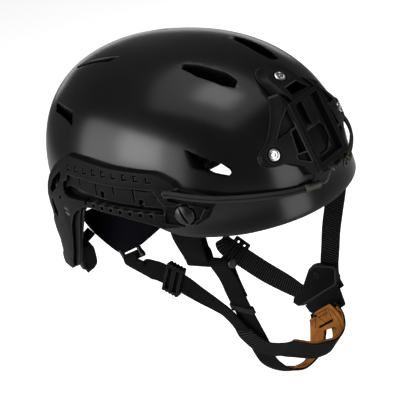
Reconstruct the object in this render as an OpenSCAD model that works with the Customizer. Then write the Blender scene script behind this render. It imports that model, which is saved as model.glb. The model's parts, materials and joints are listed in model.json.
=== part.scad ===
// Bump helmet with a vented shell, side rails, front shroud and four-point chin strap.
// The front faces -Y, up is +Z, and the wearer's right side is at -X.
// The origin is the middle of the head opening, level with the front brim.

/* [Shell] */
// Width of the shell at its widest
shell_w = 210; // [204:1:216]
// Length of the shell from the origin to the front
shell_front = 143; // [139:1:147]
// Length of the shell from the origin to the back
shell_rear = 141; // [137:1:145]
// Height of the widest section over the front brim
wall_h = 23; // [20:1:26]
// Height of the dome over the widest section
dome_h = 111; // [107:1:115]
// Thickness of the shell
shell_t = 3; // [2.5:0.5:3.5]
// How square the shell is seen from above, 2 for an ellipse
plan_n = 2.15; // [2.1:0.05:2.2]
// How full the dome is from crown to side
dome_n = 2.53; // [2.45:0.04:2.6]
// How fast the dome rises from its side
rise_n = 2.17; // [2.1:0.02:2.25]
// How far the crown lies behind the origin
crown_back = 24; // [20:1:28]
// Outward flare of the nape over the full depth of the back
nape_flare = 5; // [3:1:6]
// Outward flare of the front brim
brim_flare = 2.3; // [1.5:0.1:3]
// Width of the crown vents
crown_vent_w = 7; // [6:0.5:8]

/* [Liner and pads] */
// Clearance between the shell and the liner
liner_gap = 0.7; // [0.6:0.1:1]
// Thickness of the impact liner
liner_t = 15; // [12:1:16]
// Thickness of the comfort pads
pad_t = 9; // [7:1:11]

/* [Rails] */
// Height of the rail's inner face over the shell
rail_in = 1.5; // [1.3:0.1:1.8]
// Height of the rail's outer face over the shell
rail_out = 8; // [7:0.5:9]
// Height of the sunk middle panels over the shell
rail_mid = 5; // [4:0.5:6]
// Distance between the small square holes
hole_pitch = 9.8; // [9.2:0.1:10]
// Side of the small square holes
hole_side = 3.2; // [2.8:0.1:3.6]
// Distance between the thin upright slots
slot_pitch = 20; // [19:0.5:20.5]
// Diameter of the rail screw heads
rail_head_d = 16.5; // [15:0.5:18]
// Diameter of the rail screw shanks
rail_screw_d = 5; // [4:0.5:6]

/* [Shroud] */
// Width of the shroud's front frame
frame_w = 40; // [38:1:42]
// Height of the shroud's front frame
frame_h = 58; // [56:1:60]
// Depth of the pocket in the frame
pocket_d = 6; // [5:0.5:7]
// Width of the pocket
pocket_w = 30; // [28:1:31]
// Lean of the frame from upright, in degrees
frame_lean = 15.8; // [15:0.2:17]
// Distance between the two side screws
foot_span = 89; // [87:1:91]
// Diameter of the shroud screw heads
foot_head_d = 9.5; // [8.5:0.5:10]
// Diameter of the shroud screw shanks
foot_screw_d = 4; // [3:0.5:5]

/* [Chin strap] */
// Width of the webbing
web_w = 20; // [18:1:21]
// Thickness of the webbing
web_t = 1.6; // [1.4:0.1:1.8]
// Diameter of the strap bars
bar_d = 4.4; // [4:0.2:5]
// Clearance between a bar and the webbing round it
bar_gap = 0.3; // [0.2:0.05:0.4]
// Distance of a strap bar from the middle of the helmet
bar_x = 83; // [82:0.5:84]
// Depth of the strap bars below the front brim
bar_drop = 21.5; // [20.5:0.5:23]

/* [Shock cords] */
// Diameter of the shock cord
cord_d = 2.8; // [2.4:0.1:3.2]
// Diameter of the metal cord ends
ferrule_d = 6; // [5:0.5:7]

/* [Nape fit] */
// Diameter of the fit dial
dial_d = 34; // [30:1:38]
// Thickness of the fit dial
dial_t = 11; // [9:0.5:13]

/* [Hidden] */
half_w = shell_w / 2;
side_r = 204;
side_rise_r = 159;
hang = [0, 1, -0.085];
shell_side = [-0.31, 0.95, 0];

// Shape of the shell

function spow(v, e) = sign(v) * pow(abs(v), e);
function ramp(v, a, b) = let (u = min(1, max(0, (v - a) / (b - a)))) u * u * (3 - 2 * u);
function turn_of(a) = a > 180 ? 360 - a : a;

// Place on the shell at turn a from the front, rise t and a height over the outer face.
// A rise under 0 is a drop in mm below the widest section, over 0 an angle on the dome.
function on_shell(a, t, over) = let (
    p = max(t, 0),
    fl = over + nape_flare * max(-t, 0) / 78 * ramp(turn_of(a), 100, 122)
        + brim_flare * ramp(-t, 0, wall_h) * (1 - ramp(turn_of(a), 58, 78)),
    h = pow(cos(p), 2 / dome_n),
    len = (cos(a) > 0 ? shell_front : shell_rear) + fl)
    [(half_w + fl) * spow(sin(a), 2 / plan_n) * h,
     -len * spow(cos(a), 2 / plan_n) * h + crown_back * (1 - h),
     t < 0 ? wall_h + t : wall_h + (dome_h + over) * pow(sin(p), 2 / rise_n)];

// Rise of a place at height z, and turn of a place at depth y on the right or left
function rise_at(z) = z < wall_h ? z - wall_h : asin(pow((z - wall_h) / dome_h, rise_n / 2));
function turn_at(y, t) = let (
    h = pow(cos(max(t, 0)), 2 / dome_n),
    yy = (y - crown_back * (1 - h)) / h)
    yy < 0 ? acos(pow(-yy / shell_front, plan_n / 2)) : 180 - acos(pow(yy / shell_rear, plan_n / 2));

// Height of the shell's lower edge round the head
function rim_z(a) = lookup(turn_of(a), [[0, 0], [20, 1], [32, 1.9], [42, 2.6], [50, 4], [60, 6.2],
    [65, 8], [70, 11.5], [75, 17.5], [80, 22], [86, 25], [95, 29], [102, 27], [104.5, 23], [107.3, 15],
    [110.5, 2], [114.5, -12], [118, -24], [122, -35], [126, -41.5], [132, -40.5], [141, -36], [152, -29],
    [165, -25], [180, -24]]);
// Height of the liner's lower edge
function liner_z(a) = lookup(turn_of(a), [[0, 8], [50, 11], [62, 17], [75, 26], [86, 32], [95, 36],
    [104, 33], [110, 26], [122, 14], [135, 9], [180, 8]]);

fine_turns = [for (a = [0:6:54]) a, for (a = [60:5:90]) a, 95, 99, 102, 104.5, 107.3, 110.5, 114.5,
    118, 122, 126, 132, for (a = [138:7:173]) a];
turns = concat(fine_turns, [180], [for (i = [len(fine_turns) - 1:-1:1]) 360 - fine_turns[i]]);
edge_rise = 14;
wall_rows = 4;
dome_rows = 9;

function row_rise(low, j, rows) = let (t0 = low - wall_h)
    j <= wall_rows ? (t0 > 0 ? rise_at(t0 + wall_h)
        : t0) * (1 - j / wall_rows) + edge_rise * j / wall_rows
    : edge_rise + (90 - edge_rise) * (j - wall_rows) / (rows - wall_rows);

// Closed dome between two heights over the shell's face, down to a given lower edge
module dome(over_out, over_in, low, rows) {
    n = len(turns);
    skin = function (over) [for (j = [0:rows - 1]) for (a = turns) on_shell(a,
        row_rise(low(a), j, rows), over)];
    outer = skin(over_out);
    inner = skin(over_in);
    m = len(outer);
    points = concat(outer, inner, [on_shell(0, 90, over_out)], [on_shell(0, 90, over_in)]);
    sides = [for (j = [0:rows - 2]) for (i = [0:n - 1]) let (k = (i + 1) % n)
        [j * n + i, (j + 1) * n + i, (j + 1) * n + k, j * n + k]];
    tris = [for (q = sides) each [[q[0], q[1], q[2]], [q[0], q[2], q[3]]]];
    top = (rows - 1) * n;
    faces = concat(tris,
        [for (t = tris) [t[2] + m, t[1] + m, t[0] + m]],
        [for (i = [0:n - 1]) [top + i, 2 * m, top + (i + 1) % n]],
        [for (i = [0:n - 1]) [m + top + (i + 1) % n, 2 * m + 1, m + top + i]],
        [for (i = [0:n - 1]) let (k = (i + 1) % n) each [[i, k, m + k], [i, m + k, m + i]]]);
    polyhedron(points, faces);
}

// Closed patch on the shell between two turns and two rises, crowned on its inner face
module patch(a0, a1, low, high, over_out, thick, edge, na, nt) {
    at = function (u, v, over) on_shell(a0 + (a1 - a0) * u, low(u) + (high(u) - low(u)) * v, over);
    bulge = function (u, v) edge + (thick - edge) * (1 - pow(abs(2 * u - 1),
        4)) * (1 - pow(abs(2 * v - 1), 4));
    outer = [for (j = [0:nt]) for (i = [0:na]) at(i / na, j / nt, over_out)];
    inner = [for (j = [0:nt]) for (i = [0:na]) at(i / na, j / nt, over_out - bulge(i / na, j / nt))];
    w = na + 1;
    m = len(outer);
    quads = [for (j = [0:nt - 1]) for (i = [0:na - 1]) [j * w + i, (j + 1) * w + i, (j + 1) * w + i + 1,
        j * w + i + 1]];
    tris = [for (q = quads) each [[q[0], q[1], q[2]], [q[0], q[2], q[3]]]];
    border = concat([for (i = [0:na - 1]) [i, i + 1]],
        [for (j = [0:nt - 1]) [j * w + na, (j + 1) * w + na]],
        [for (i = [na:-1:1]) [nt * w + i, nt * w + i - 1]], [for (j = [nt:-1:1]) [j * w, (j - 1) * w]]);
    polyhedron(concat(outer, inner), concat(tris, [for (t = tris) [t[2] + m, t[1] + m, t[0] + m]],
        [for (e = border) each [[e[0], e[1], e[1] + m], [e[0], e[1] + m, e[0] + m]]]));
}

// Puts its children on the shell with Z along the outward normal and Y uphill
module seat(a, t, over) {
    c = on_shell(a, t, over);
    e = on_shell(a + 0.5, t, over) - on_shell(a - 0.5, t, over);
    u = on_shell(a, t + 0.5, over) - on_shell(a, t - 0.5, over);
    z = cross(e, u) / norm(cross(e, u));
    x = e / norm(e);
    y = cross(z, x);
    multmatrix([[x[0], y[0], z[0], c[0]], [x[1], y[1], z[1], c[1]], [x[2], y[2], z[2], c[2]],
        [0, 0, 0, 1]])
        children();
}

// Smooth line through hand-placed points
function curve(p, a, b, c, u) = 0.5 * ((2 * a) + (b - p) * u + (2 * p - 5 * a + 4 * b - c) * u * u
    + (3 * a - p - 3 * b + c) * u * u * u);
function smooth(pts, n) = let (m = len(pts) - 1)
    [for (i = [0:m - 1]) for (k = [0:n - 1]) curve(pts[max(i - 1, 0)], pts[i], pts[i + 1],
    pts[min(i + 2, m)], k / n),
     pts[m]];

// Flat band along a line, with its width direction at each point, shifted off its face
module band(pts, wides, width, thick, n, shift) {
    c = smooth(pts, n);
    w = smooth(wides, n);
    m = len(c) - 1;
    ring = [for (i = [0:m]) let (
        d = c[min(i + 1, m)] - c[max(i - 1, 0)],
        t = d / norm(d),
        s = w[i] - (w[i] * t) * t,
        x = s / norm(s),
        y = cross(t, x),
        o = c[i] + y * shift)
        each [o + x * width / 2 + y * thick / 2, o - x * width / 2 + y * thick / 2,
              o - x * width / 2 - y * thick / 2, o + x * width / 2 - y * thick / 2]];
    polyhedron(ring, concat([[0, 1, 2], [0, 2, 3]], [[4 * m + 2, 4 * m + 1, 4 * m],
        [4 * m + 3, 4 * m + 2, 4 * m]],
        [for (i = [0:m - 1]) for (k = [0:3]) let (q = (k + 1) % 4)
            each [[4 * i + k, 4 * i + 4 + k, 4 * i + 4 + q], [4 * i + k, 4 * i + 4 + q, 4 * i + q]]]));
}

// Round cord along a line that never runs along the given side direction
module cord(pts, d, n, sides, side) {
    c = smooth(pts, n);
    m = len(c) - 1;
    ring = [for (i = [0:m]) let (
        e = c[min(i + 1, m)] - c[max(i - 1, 0)],
        t = e / norm(e),
        s = cross(t, side),
        x = s / norm(s),
        y = cross(t, x))
        for (k = [0:sides - 1]) c[i] + d / 2 * (x * cos(360 * k / sides) + y * sin(360 * k / sides))];
    polyhedron(ring, concat([[for (k = [0:sides - 1]) k]], [[for (k = [sides - 1:-1:0]) sides * m + k]],
        [for (i = [0:m - 1]) for (k = [0:sides - 1]) let (q = (k + 1) % sides)
            each [[sides * i + k, sides * (i + 1) + k, sides * (i + 1) + q],
                [sides * i + k, sides * (i + 1) + q, sides * i + q]]]));
}

module both_sides() {
    children();
    mirror([1, 0, 0]) children();
}

// Prism through the shell from the side, with its outline given as depth and height
module side_prism(x0, x1, outline) {
    translate([-x1, 0, 0]) rotate([90, 0, 90]) linear_extrude(x1 - x0) polygon(outline);
}

// Vents

crown_front_vent = [[-30, -47], [-24.5, -60], [-20.5, -82], [-21.5, -93], [-22 - crown_vent_w, -95],
    [-33.8, -86],
    [-30 - crown_vent_w, -66], [-28 - crown_vent_w, -50]];
crown_rear_vent = [[-30.5, 20], [-32.5, 72], [-35, 73], [-32.5 - crown_vent_w + 1, 66],
    [-31 - crown_vent_w, 26]];
rear_side_vent = [[-63, 77], [-77, 43], [-85, 40], [-70, 74]];
front_side_vent = [[-76, 76], [-106, 58], [-107.5, 54], [-104.5, 50], [-82, 61]];

module vents(grow) {
    both_sides() {
        translate([0, 0, 82]) linear_extrude(60) offset(delta = grow) polygon(crown_front_vent);
        translate([0, 0, 82]) linear_extrude(60) offset(delta = grow) polygon(crown_rear_vent);
        translate([0, 0, 60]) linear_extrude(60) offset(delta = grow) polygon(rear_side_vent);
        translate([-110, 0, 0]) rotate([90, 0, 90]) linear_extrude(70) offset(delta = grow)
            polygon(front_side_vent);
    }
}

// Channel from each front side vent through the liner, slanting back and down into the head space
module side_channel() {
    multmatrix([[1, 0, 0, 0], [1, 1, 0, 70], [-0.565, 0, 1, -42.3], [0, 0, 0, 1]])
        translate([-90, 0, 0]) rotate([90, 0, 90]) linear_extrude(48) offset(delta = 1.5)
            polygon(front_side_vent);
}

// Fastener places: depth and height of the rail screws, then height and stand-off of the shroud screws

rail_screw_at = [[-72.5, 27.6], [53, 22.5]];
foot_z = [56.5, 96.8];
foot_stand = [0.8, 4.2];

module at_rail_screws(over) {
    both_sides() for (p = rail_screw_at)
        seat(-turn_at(p[0], rise_at(p[1])), rise_at(p[1]), over) children();
}

// The places lie on the shell; $stand is how far the shroud's foot stands off it there
module at_shroud_screws() {
    side_rise = rise_at(foot_z[0]);
    side_turn = asin(pow((foot_span / 2 - 1.8) / half_w / pow(cos(side_rise), 2 / dome_n), plan_n / 2));
    let ($stand = foot_stand[0]) both_sides() seat(-side_turn, side_rise, 0) children();
    let ($stand = foot_stand[1]) seat(0, rise_at(foot_z[1]), 0) children();
}

module shell() color([0.05, 0.05, 0.055]) resize([0, 0, 0]) difference() {
    dome(0, -shell_t, function (a) rim_z(a), wall_rows + dome_rows);
    vents(0);
    at_rail_screws(0) cylinder(d = rail_screw_d + 0.8, h = 20, center = true, $fn = 20);
    at_shroud_screws() cylinder(d = foot_screw_d + 0.8, h = 20, center = true, $fn = 20);
}

liner_out = -shell_t - liner_gap;
liner_in = liner_out - liner_t;

module impact_liner() color([0.12, 0.12, 0.13]) resize([0, 0, 0]) difference() {
    dome(liner_out, liner_in, function (a) liner_z(a), wall_rows + dome_rows);
    vents(2);
    both_sides() side_channel();
    at_rail_screws(-shell_t) cylinder(d = 18, h = 8, center = true, $fn = 20);
    at_shroud_screws() translate([0, 0, -shell_t]) cylinder(d = 14, h = 9, center = true, $fn = 20);
}

pad_gap = 0.8;
pad_out = liner_in - pad_gap;

module comfort(a0, a1, t0, t1, na, nt) {
    color([0.07, 0.07, 0.075]) patch(a0, a1, function (u) t0, function (u) t1, pad_out, pad_t, 2.5, na,
        nt);
}

module crown_pad() color([0.07, 0.07, 0.075]) {
    n = 24;
    rows = 6;
    skin = function (over, bulge) [for (j = [0:rows - 1]) for (i = [0:n - 1])
        on_shell(360 * i / n, 64 + 26 * j / rows, over - bulge * (1 - pow(1 - j / rows, 3)))];
    m = n * rows;
    quads = [for (j = [0:rows - 2]) for (i = [0:n - 1]) let (k = (i + 1) % n)
        [j * n + i, (j + 1) * n + i, (j + 1) * n + k, j * n + k]];
    tris = [for (q = quads) each [[q[0], q[1], q[2]], [q[0], q[2], q[3]]]];
    top = m - n;
    polyhedron(concat(skin(pad_out, 0), skin(pad_out - 2.5, pad_t - 2.5),
        [on_shell(0, 90, pad_out), on_shell(0, 90, pad_out - pad_t)]),
        concat(tris, [for (t = tris) [t[2] + m, t[1] + m, t[0] + m]],
        [for (i = [0:n - 1]) let (k = (i + 1) % n)
            each [[top + i, 2 * m, top + k], [m + top + k, 2 * m + 1, m + top + i], [i, k, m + k],
                [i, m + k, m + i]]]));
}
module front_pad() comfort(-34, 34, 0, 24, 14, 7);
module rear_pad() comfort(150, 210, 0, 30, 12, 7);
module side_pad_right() comfort(-104, -62, 16, 44, 10, 7);
module side_pad_left() comfort(62, 104, 16, 44, 10, 7);

// Rails

// Skin of even depth that follows the side of the shell, drawn for the right side
function rail_face(over) = [for (t = [0:2.25:22.5])
    [side_r - side_rise_r + (side_rise_r + over) * cos(t), wall_h + (side_rise_r + over) * sin(t)]];
function turned(list) = [for (i = [len(list) - 1:-1:0]) list[i]];

module rail_skin(low, high) {
    foot = wall_h - 78;
    translate([side_r - half_w, 0, 0]) rotate([0, 0, 148]) rotate_extrude(angle = 64, $fn = 180)
        polygon(concat([[side_r + low + nape_flare, foot], [side_r + high + nape_flare, foot]],
            rail_face(high), turned(rail_face(low))));
}

// Outlines on the rail, as depth and height
rail_outline = [[38, 73.5], [18, 72], [-11, 67.6], [-36, 64.8], [-53, 62.9], [-58, 61.3], [-69, 54.6],
    [-73, 49],
    [-83, 43.8], [-97, 37.5], [-97.5, 34.5], [-93.5, 29.5], [-89.4, 22.5], [-84, 19.5], [-75, 18.4],
    [-64, 18.2],
    [-55, 18.2], [-45, 22], [-17, 28.5], [14, 32.5], [26, 32], [34, 28], [40, 20], [45, 10], [50.5, -2],
    [56, -14], [62, -25], [71, -35.5], [79, -38.5], [97, -39.5], [99, -35.5], [97, -30], [93, -26],
    [92, -14], [96, -8],
    [97, 2], [93, 8], [92, 14], [94, 20], [92, 29], [88, 35], [84, 41], [75, 51], [63, 60.5],
    [50.6, 68.5]];
middle_panel = [[41, 58], [-52.5, 50.4], [-57, 42], [-61, 36], [-59, 30], [42, 40.5], [52, 42],
    [50, 50], [43, 53]];
long_slot = [[50.5, 43.5], [44, 46.6], [39, 46.8], [28, 45], [9.5, 42], [-18, 38.6], [-57, 34.3],
    [-57, 31.2],
    [-27, 34.8], [12.5, 37.5], [45.5, 37], [51, 39.5]];
arc_window = [[52.5, 59.3], [51.5, 54], [64.5, 42], [77, 34], [81, 36], [70.5, 47.7]];
rear_window = [[81, 28], [86, 25], [86, 13], [81, 9], [77, 15]];
small_window = [[59, 37], [65, 33.5], [61, 31]];
leg_step = [[24, 29], [32, 25.5], [38, 18], [43, 8], [48.5, -4], [54, -16], [60, -27], [69, -38],
    [77, -42],
    [73, -30], [65.5, -18], [59.5, -4], [54, 10], [47, 20], [38, 27]];
nose_panel = [[-61, 37], [-92, 33.4], [-86, 24], [-77, 21], [-66, 21], [-58.4, 22.4]];
nose_shelf = [[-64, 50.2], [-72, 49.6], [-84, 44.8], [-98, 38.8], [-98, 29.5], [-64, 41]];
cord_slot = [[-60, 49.6], [-66, 49.2], [-66, 43.6], [-59.5, 44]];

module rail_drill(y, z) {
    seat(-turn_at(y, rise_at(z)), rise_at(z), 0) children();
}

module rail() {
    difference() {
        intersection() {
            rail_skin(rail_in, rail_out);
            side_prism(60, 130, rail_outline);
        }
        intersection() {
            rail_skin(rail_mid, rail_out + 3);
            union() {
                side_prism(60, 130, middle_panel);
                side_prism(60, 130, nose_shelf);
                side_prism(60, 130, leg_step);
            }
        }
        intersection() {
            rail_skin(rail_mid + 1.2, rail_out + 3);
            side_prism(60, 130, nose_panel);
        }
        for (o = [long_slot, arc_window, rear_window, small_window, cord_slot])
            side_prism(60, 130, o);
        for (i = [0:4]) let (y = 28.2 - slot_pitch * i, z = 56.6 - 1.6 * i, d = i % 2 == 1 ? 12 : 8)
            side_prism(60, 130, [[y, z], [y - 1.6, z], [y - 1.6, z - d], [y, z - d]]);
        for (i = [0:1])
            side_prism(60, 130, [[25 - 40 * i, 57.2 - 4.2 * i], [-12 - 36 * i, 53.1 - 4.4 * i],
                [-12 - 36 * i, 51.9 - 4.4 * i], [25 - 40 * i, 56 - 4.2 * i]]);
        for (i = [0:1])
            side_prism(60, 130, [[2.5 - 39 * i, 47.6 - 5.6 * i], [-2 - 39 * i, 47.2 - 5.6 * i],
                [-2 - 39 * i, 41.2 - 5.6 * i], [2.5 - 39 * i, 41.6 - 5.6 * i]]);
        for (i = [0:7]) translate([-130, 21 - hole_pitch * i, 36 - 1.0 * i])
            rotate([-5.6, 0, 0]) translate([0, -hole_side / 2, -hole_side / 2]) cube([70, hole_side,
                hole_side]);
        // Hook-shaped grooves in the upper bar
        for (i = [0:8]) rail_drill(36 - 10.6 * i, 62.6 - 0.083 * i * i) {
            translate([-2.6, -3, rail_out - 2.2]) cube([5.2, 1.5, 6]);
            translate([-2.6, -3, rail_out - 2.2]) cube([1.5, 5, 6]);
            if (i % 3 != 2) translate([-2.6, 1.2, rail_out - 2.2]) cube([3.6, 1.3, 6]);
        }
        rail_drill(rail_screw_at[0][0], rail_screw_at[0][1]) {
            translate([0, 0, 3.6]) cylinder(d = rail_head_d + 2.6, h = 12, $fn = 64);
            translate([0, 0, -4]) cylinder(d = rail_screw_d + 0.6, h = 20, $fn = 32);
        }
        rail_drill(rail_screw_at[1][0], rail_screw_at[1][1]) {
            translate([0, 0, -4]) cylinder(d = rail_screw_d + 0.6, h = 20, $fn = 32);
            translate([0, 0, 5.4]) cylinder(d = 9.4, h = 12, $fn = 32);
        }
    }
}

module rail_right() color([0.06, 0.06, 0.062]) rail();
module rail_left() color([0.06, 0.06, 0.062]) mirror([1, 0, 0]) rail();

// Domed slotted screws at the front, flat screws at the back
module rail_screws() color([0.12, 0.12, 0.12]) both_sides() {
    rail_drill(rail_screw_at[0][0], rail_screw_at[0][1]) difference() {
        union() {
            translate([0, 0, 3.7]) intersection() {
                cylinder(d = rail_head_d, h = 6, $fn = 64);
                translate([0, 0, 5.2 - 14]) sphere(r = 14, $fn = 64);
            }
            translate([0, 0, -7]) cylinder(d = rail_screw_d, h = 11, $fn = 32);
        }
        rotate([0, 0, 110]) translate([-20, -0.9, 6.4]) cube([40, 1.8, 6]);
    }
    rail_drill(rail_screw_at[1][0], rail_screw_at[1][1]) difference() {
        union() {
            translate([0, 0, 5.5]) cylinder(d = 8.8, h = 1.9, $fn = 32);
            translate([0, 0, -7]) cylinder(d = rail_screw_d, h = 13, $fn = 32);
        }
        translate([-20, -0.7, 6.6]) cube([40, 1.4, 6]);
    }
}

module flange_nut(screw_d, flange_d, depth) {
    difference() {
        union() {
            translate([0, 0, -shell_t - depth]) cylinder(d = flange_d, h = 1.6, $fn = 32);
            translate([0, 0, -shell_t - depth - 1.7]) cylinder(d = screw_d + 3.4, h = 3, $fn = 32);
        }
        translate([0, 0, -20]) cylinder(d = screw_d + 0.1, h = 30, $fn = 32);
    }
}

module rail_nuts() color([0.35, 0.35, 0.36]) both_sides() {
    for (p = rail_screw_at) rail_drill(p[0], p[1]) flange_nut(rail_screw_d, 15, 2.3);
}

// Shroud, drawn with its front face flat and its middle at zero, then leaned back

shroud_at = [0, -144.2, 60.9];
// Ball that matches the front of the shell, 0.6 mm outside it
ball_at = [0, -45.5, 25.4];
ball_r = 98.3;

module lean() {
    translate(shroud_at) rotate([90 - frame_lean, 0, 0]) children();
}

frame_t = 7;
leg_side = [[25, 0], [33, -2.5], [40, -8.2], [47, -13.2], [55, -18.9], [59, -22.5], [60.5, -26],
    [59, -42], [20, -42],
    [20, -6]];
wing_side = [[-30, 0], [25, 0], [33, -4], [40, -10], [47, -15], [55, -21], [55, -46], [-30, -46]];
wing_outline = [[-9, 51], [-14.4, 42], [-21.6, 33.3], [-28.5, 25], [-36.3, 16.6], [-44, 9.7],
    [-49.6, 7], [-53, 4],
    [-54, -1], [-51.5, -6], [-45, -9], [-38.6, -10.2], [-28.5, -18.5], [-25.8, -27], [-20, -29],
    [-9, -29]];
wing_profile = [[-17, -1.5], [-20, -1.5], [-31, -6.2], [-40, -9.8], [-48, -13.6], [-57, -20.5],
    [-57, -45], [-17, -45]];
wing_window = [[-26, 9.5], [-21.5, 10.5], [-21.5, -9], [-28.5, -8]];
wing_sink = [[-21.5, 27], [-21.5, 11.5], [-28, 9.8], [-39, 9.5], [-30, 20]];
wing_sink_low = [[-30, -8.6], [-21.5, -10.5], [-21.5, -19], [-30, -12.4]];

module shroud_body() {
    translate([-frame_w / 2, -frame_h / 2, -frame_t - 6]) cube([frame_w, frame_h, frame_t + 6]);
    intersection() {
        rotate([90, 0, 90]) translate([0, 0, -14]) linear_extrude(28) polygon(leg_side);
        translate([0, 0, -50]) linear_extrude(60) union() {
            polygon([[-13.5, 24], [-12.5, 47], [12.5, 47], [13.5, 24]]);
            translate([0, 47]) circle(r = 12.5, $fn = 48);
        }
    }
    for (s = [0, 1]) mirror([s, 0, 0]) intersection() {
        translate([0, 0, -50]) linear_extrude(60) polygon(wing_outline);
        rotate([90, 0, 0]) translate([0, 0, -60]) linear_extrude(120) polygon(wing_profile);
        rotate([90, 0, 90]) translate([0, 0, -60]) linear_extrude(60) polygon(wing_side);
    }
}

module shroud_cuts() {
    translate([-pocket_w / 2, -24, -pocket_d]) cube([pocket_w, 50, 20]);
    translate([-pocket_w / 2 + 3, -20, -pocket_d - 1.2]) cube([pocket_w - 6, 22, 20]);
    translate([0, 0, -50]) linear_extrude(80) polygon([[-10, 31.5], [-7.5, 39.5], [7.5, 39.5],
        [10, 31.5]]);
    for (s = [0, 1]) mirror([s, 0, 0]) {
        translate([0, 0, -50]) linear_extrude(80) polygon(wing_window);
        intersection() {
            translate([0, 0, -50]) linear_extrude(80) union() {
                polygon(wing_sink);
                polygon(wing_sink_low);
            }
            translate([0, 0, 2.6]) rotate([90, 0, 0]) translate([0, 0, -60]) linear_extrude(120)
                polygon([[-17, -6.5], [-31, -11.2], [-40, -14.4], [-48, -18], [-48, 10], [-17, 10]]);
        }
        translate([frame_w / 2 - 2.2, -19, -4.6]) cube([5, 34, 1.8]);
    }
}

module shroud() color([0.07, 0.07, 0.072]) difference() {
    union() {
        lean() difference() {
            shroud_body();
            shroud_cuts();
        }
        // Spring tongue over the pocket
        lean() {
            translate([-5.5, 9, -2.6]) cube([11, frame_h / 2 - 9, 2.2]);
            translate([0, 9, -2.6]) cylinder(d = 11, h = 2.2, $fn = 48);
            for (x = [-12.5, 8.5]) translate([x, -frame_h / 2 - 3, -5]) cube([4, 4, 3.4]);
        }
    }
    translate(ball_at) sphere(r = ball_r, $fn = 128);
    at_shroud_screws() {
        translate([0, 0, -4]) cylinder(d = foot_screw_d + 0.4, h = 30, $fn = 32);
        translate([0, 0, $stand + 3]) cylinder(d = foot_head_d + 2.4, h = 30, $fn = 48);
    }
}

module shroud_screws() color([0.75, 0.75, 0.76]) at_shroud_screws() difference() {
    union() {
        translate([0, 0, $stand + 3.1]) cylinder(d = foot_head_d, h = 2.4, $fn = 48);
        translate([0, 0, -7]) cylinder(d = foot_screw_d, h = $stand + 11, $fn = 32);
    }
    translate([0, 0, $stand + 3.9]) cylinder(d = 3, h = 4, $fn = 6);
}

module shroud_nuts() color([0.35, 0.35, 0.36]) at_shroud_screws() flange_nut(foot_screw_d, 12, 2.6);

// Shock cords from the rail to the shroud

ferrule_dir = [0.9, -0.42, -0.1];
cord_run = [[-31.5, -141.3, 23.2], [-42.5, -136.8, 25.2], [-54, -130.8, 28.2], [-63, -123.8, 30.6],
    [-71, -115.8, 32.7], [-78, -107, 34.7], [-85.9, -98.6, 37.6], [-92.3, -88.7, 40.8], [-97.4, -77.9, 44],
    [-100.8, -69, 46.6]];
cord_turn = [-103.6, -63.6, 47.4];

module shock_cord() {
    up = [0, 0, cord_d / 2 + 0.1];
    back = [for (p = cord_run) p + up * (p[0] < -40 ? 1 : 0.9)];
    fore = [for (i = [len(cord_run) - 1:-1:0]) cord_run[i] - up];
    cord(concat(back, [cord_turn + [0.6, 0, 1.4], cord_turn + [0.6, 0, -1.4]], fore), cord_d, 2, 7,
        [-0.7, -0.7, 0.1]);
}

module shock_cord_right() color([0.06, 0.06, 0.06]) resize([0, 0, 0]) shock_cord();
module shock_cord_left() color([0.06, 0.06, 0.06]) resize([0, 0, 0]) mirror([1, 0, 0]) shock_cord();

// Puts its children at a place with Z along a direction
module along(c, d) {
    z = d / norm(d);
    s = cross([0, 0, 1], z);
    x = s / norm(s);
    y = cross(z, x);
    multmatrix([[x[0], y[0], z[0], c[0]], [x[1], y[1], z[1], c[1]], [x[2], y[2], z[2], c[2]],
        [0, 0, 0, 1]])
        children();
}

module ferrule() along(cord_run[0], ferrule_dir) {
    translate([0, 0, 0.2]) cylinder(d = ferrule_d + 0.6, h = 4.5, $fn = 32);
    translate([0, 0, 4.7]) cylinder(d = ferrule_d, h = 9, $fn = 32);
    translate([0, 0, 13.7]) cylinder(d1 = ferrule_d, d2 = 3, h = 1.6, $fn = 32);
}

module cord_ferrule_right() color([0.3, 0.31, 0.27]) ferrule();
module cord_ferrule_left() color([0.3, 0.31, 0.27]) mirror([1, 0, 0]) ferrule();

hook_run = [[-17.6, -148, 21.8], [-14.5, -149.6, 21.4], [-11.5, -150.6, 23.5], [-10.5, -152.4, 28],
    [-10.5, -155, 31.5], [-10.5, -157.6, 30.4]];

module cord_hook_right() color([0.5, 0.5, 0.48]) cord(hook_run, 1.8, 3, 8, [1, 0, 0.1]);
module cord_hook_left() color([0.5, 0.5, 0.48]) mirror([1, 0, 0]) cord(hook_run, 1.8, 3, 8, [1, 0, 0.1]);

// Strap anchors

// The strap bars lie on one line that rises to the front
rear_eye = [-bar_x, 16, -30];
bar_rise = (30 - bar_drop) / 100;
sleeve_r = bar_d / 2 + bar_gap + web_t;
front_strap_y = [-94, -74];
hanger_y = [-73.6, -48.6];

function on_bar(y) = [-bar_x, y, rear_eye[2] + (rear_eye[1] - y) * bar_rise];

module pivot_rod(y0, y1, r) {
    along(on_bar(y1), on_bar(y0) - on_bar(y1)) cylinder(r = r, h = norm(on_bar(y0) - on_bar(y1)),
        $fn = 40);
}

module sleeve(y0, y1, bore) {
    difference() {
        pivot_rod(y0, y1, sleeve_r);
        pivot_rod(y0 - 1, y1 + 1, bore);
    }
}

module bars() {
    pivot_rod(front_strap_y[0] - 1.5, hanger_y[1] + 0.5, bar_d / 2);
    pivot_rod(front_strap_y[0] - 2, front_strap_y[0] - 0.5, sleeve_r - 0.4);
}

module strap_bar_right() color([0.2, 0.2, 0.2]) bars();
module strap_bar_left() color([0.2, 0.2, 0.2]) mirror([1, 0, 0]) bars();

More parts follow.
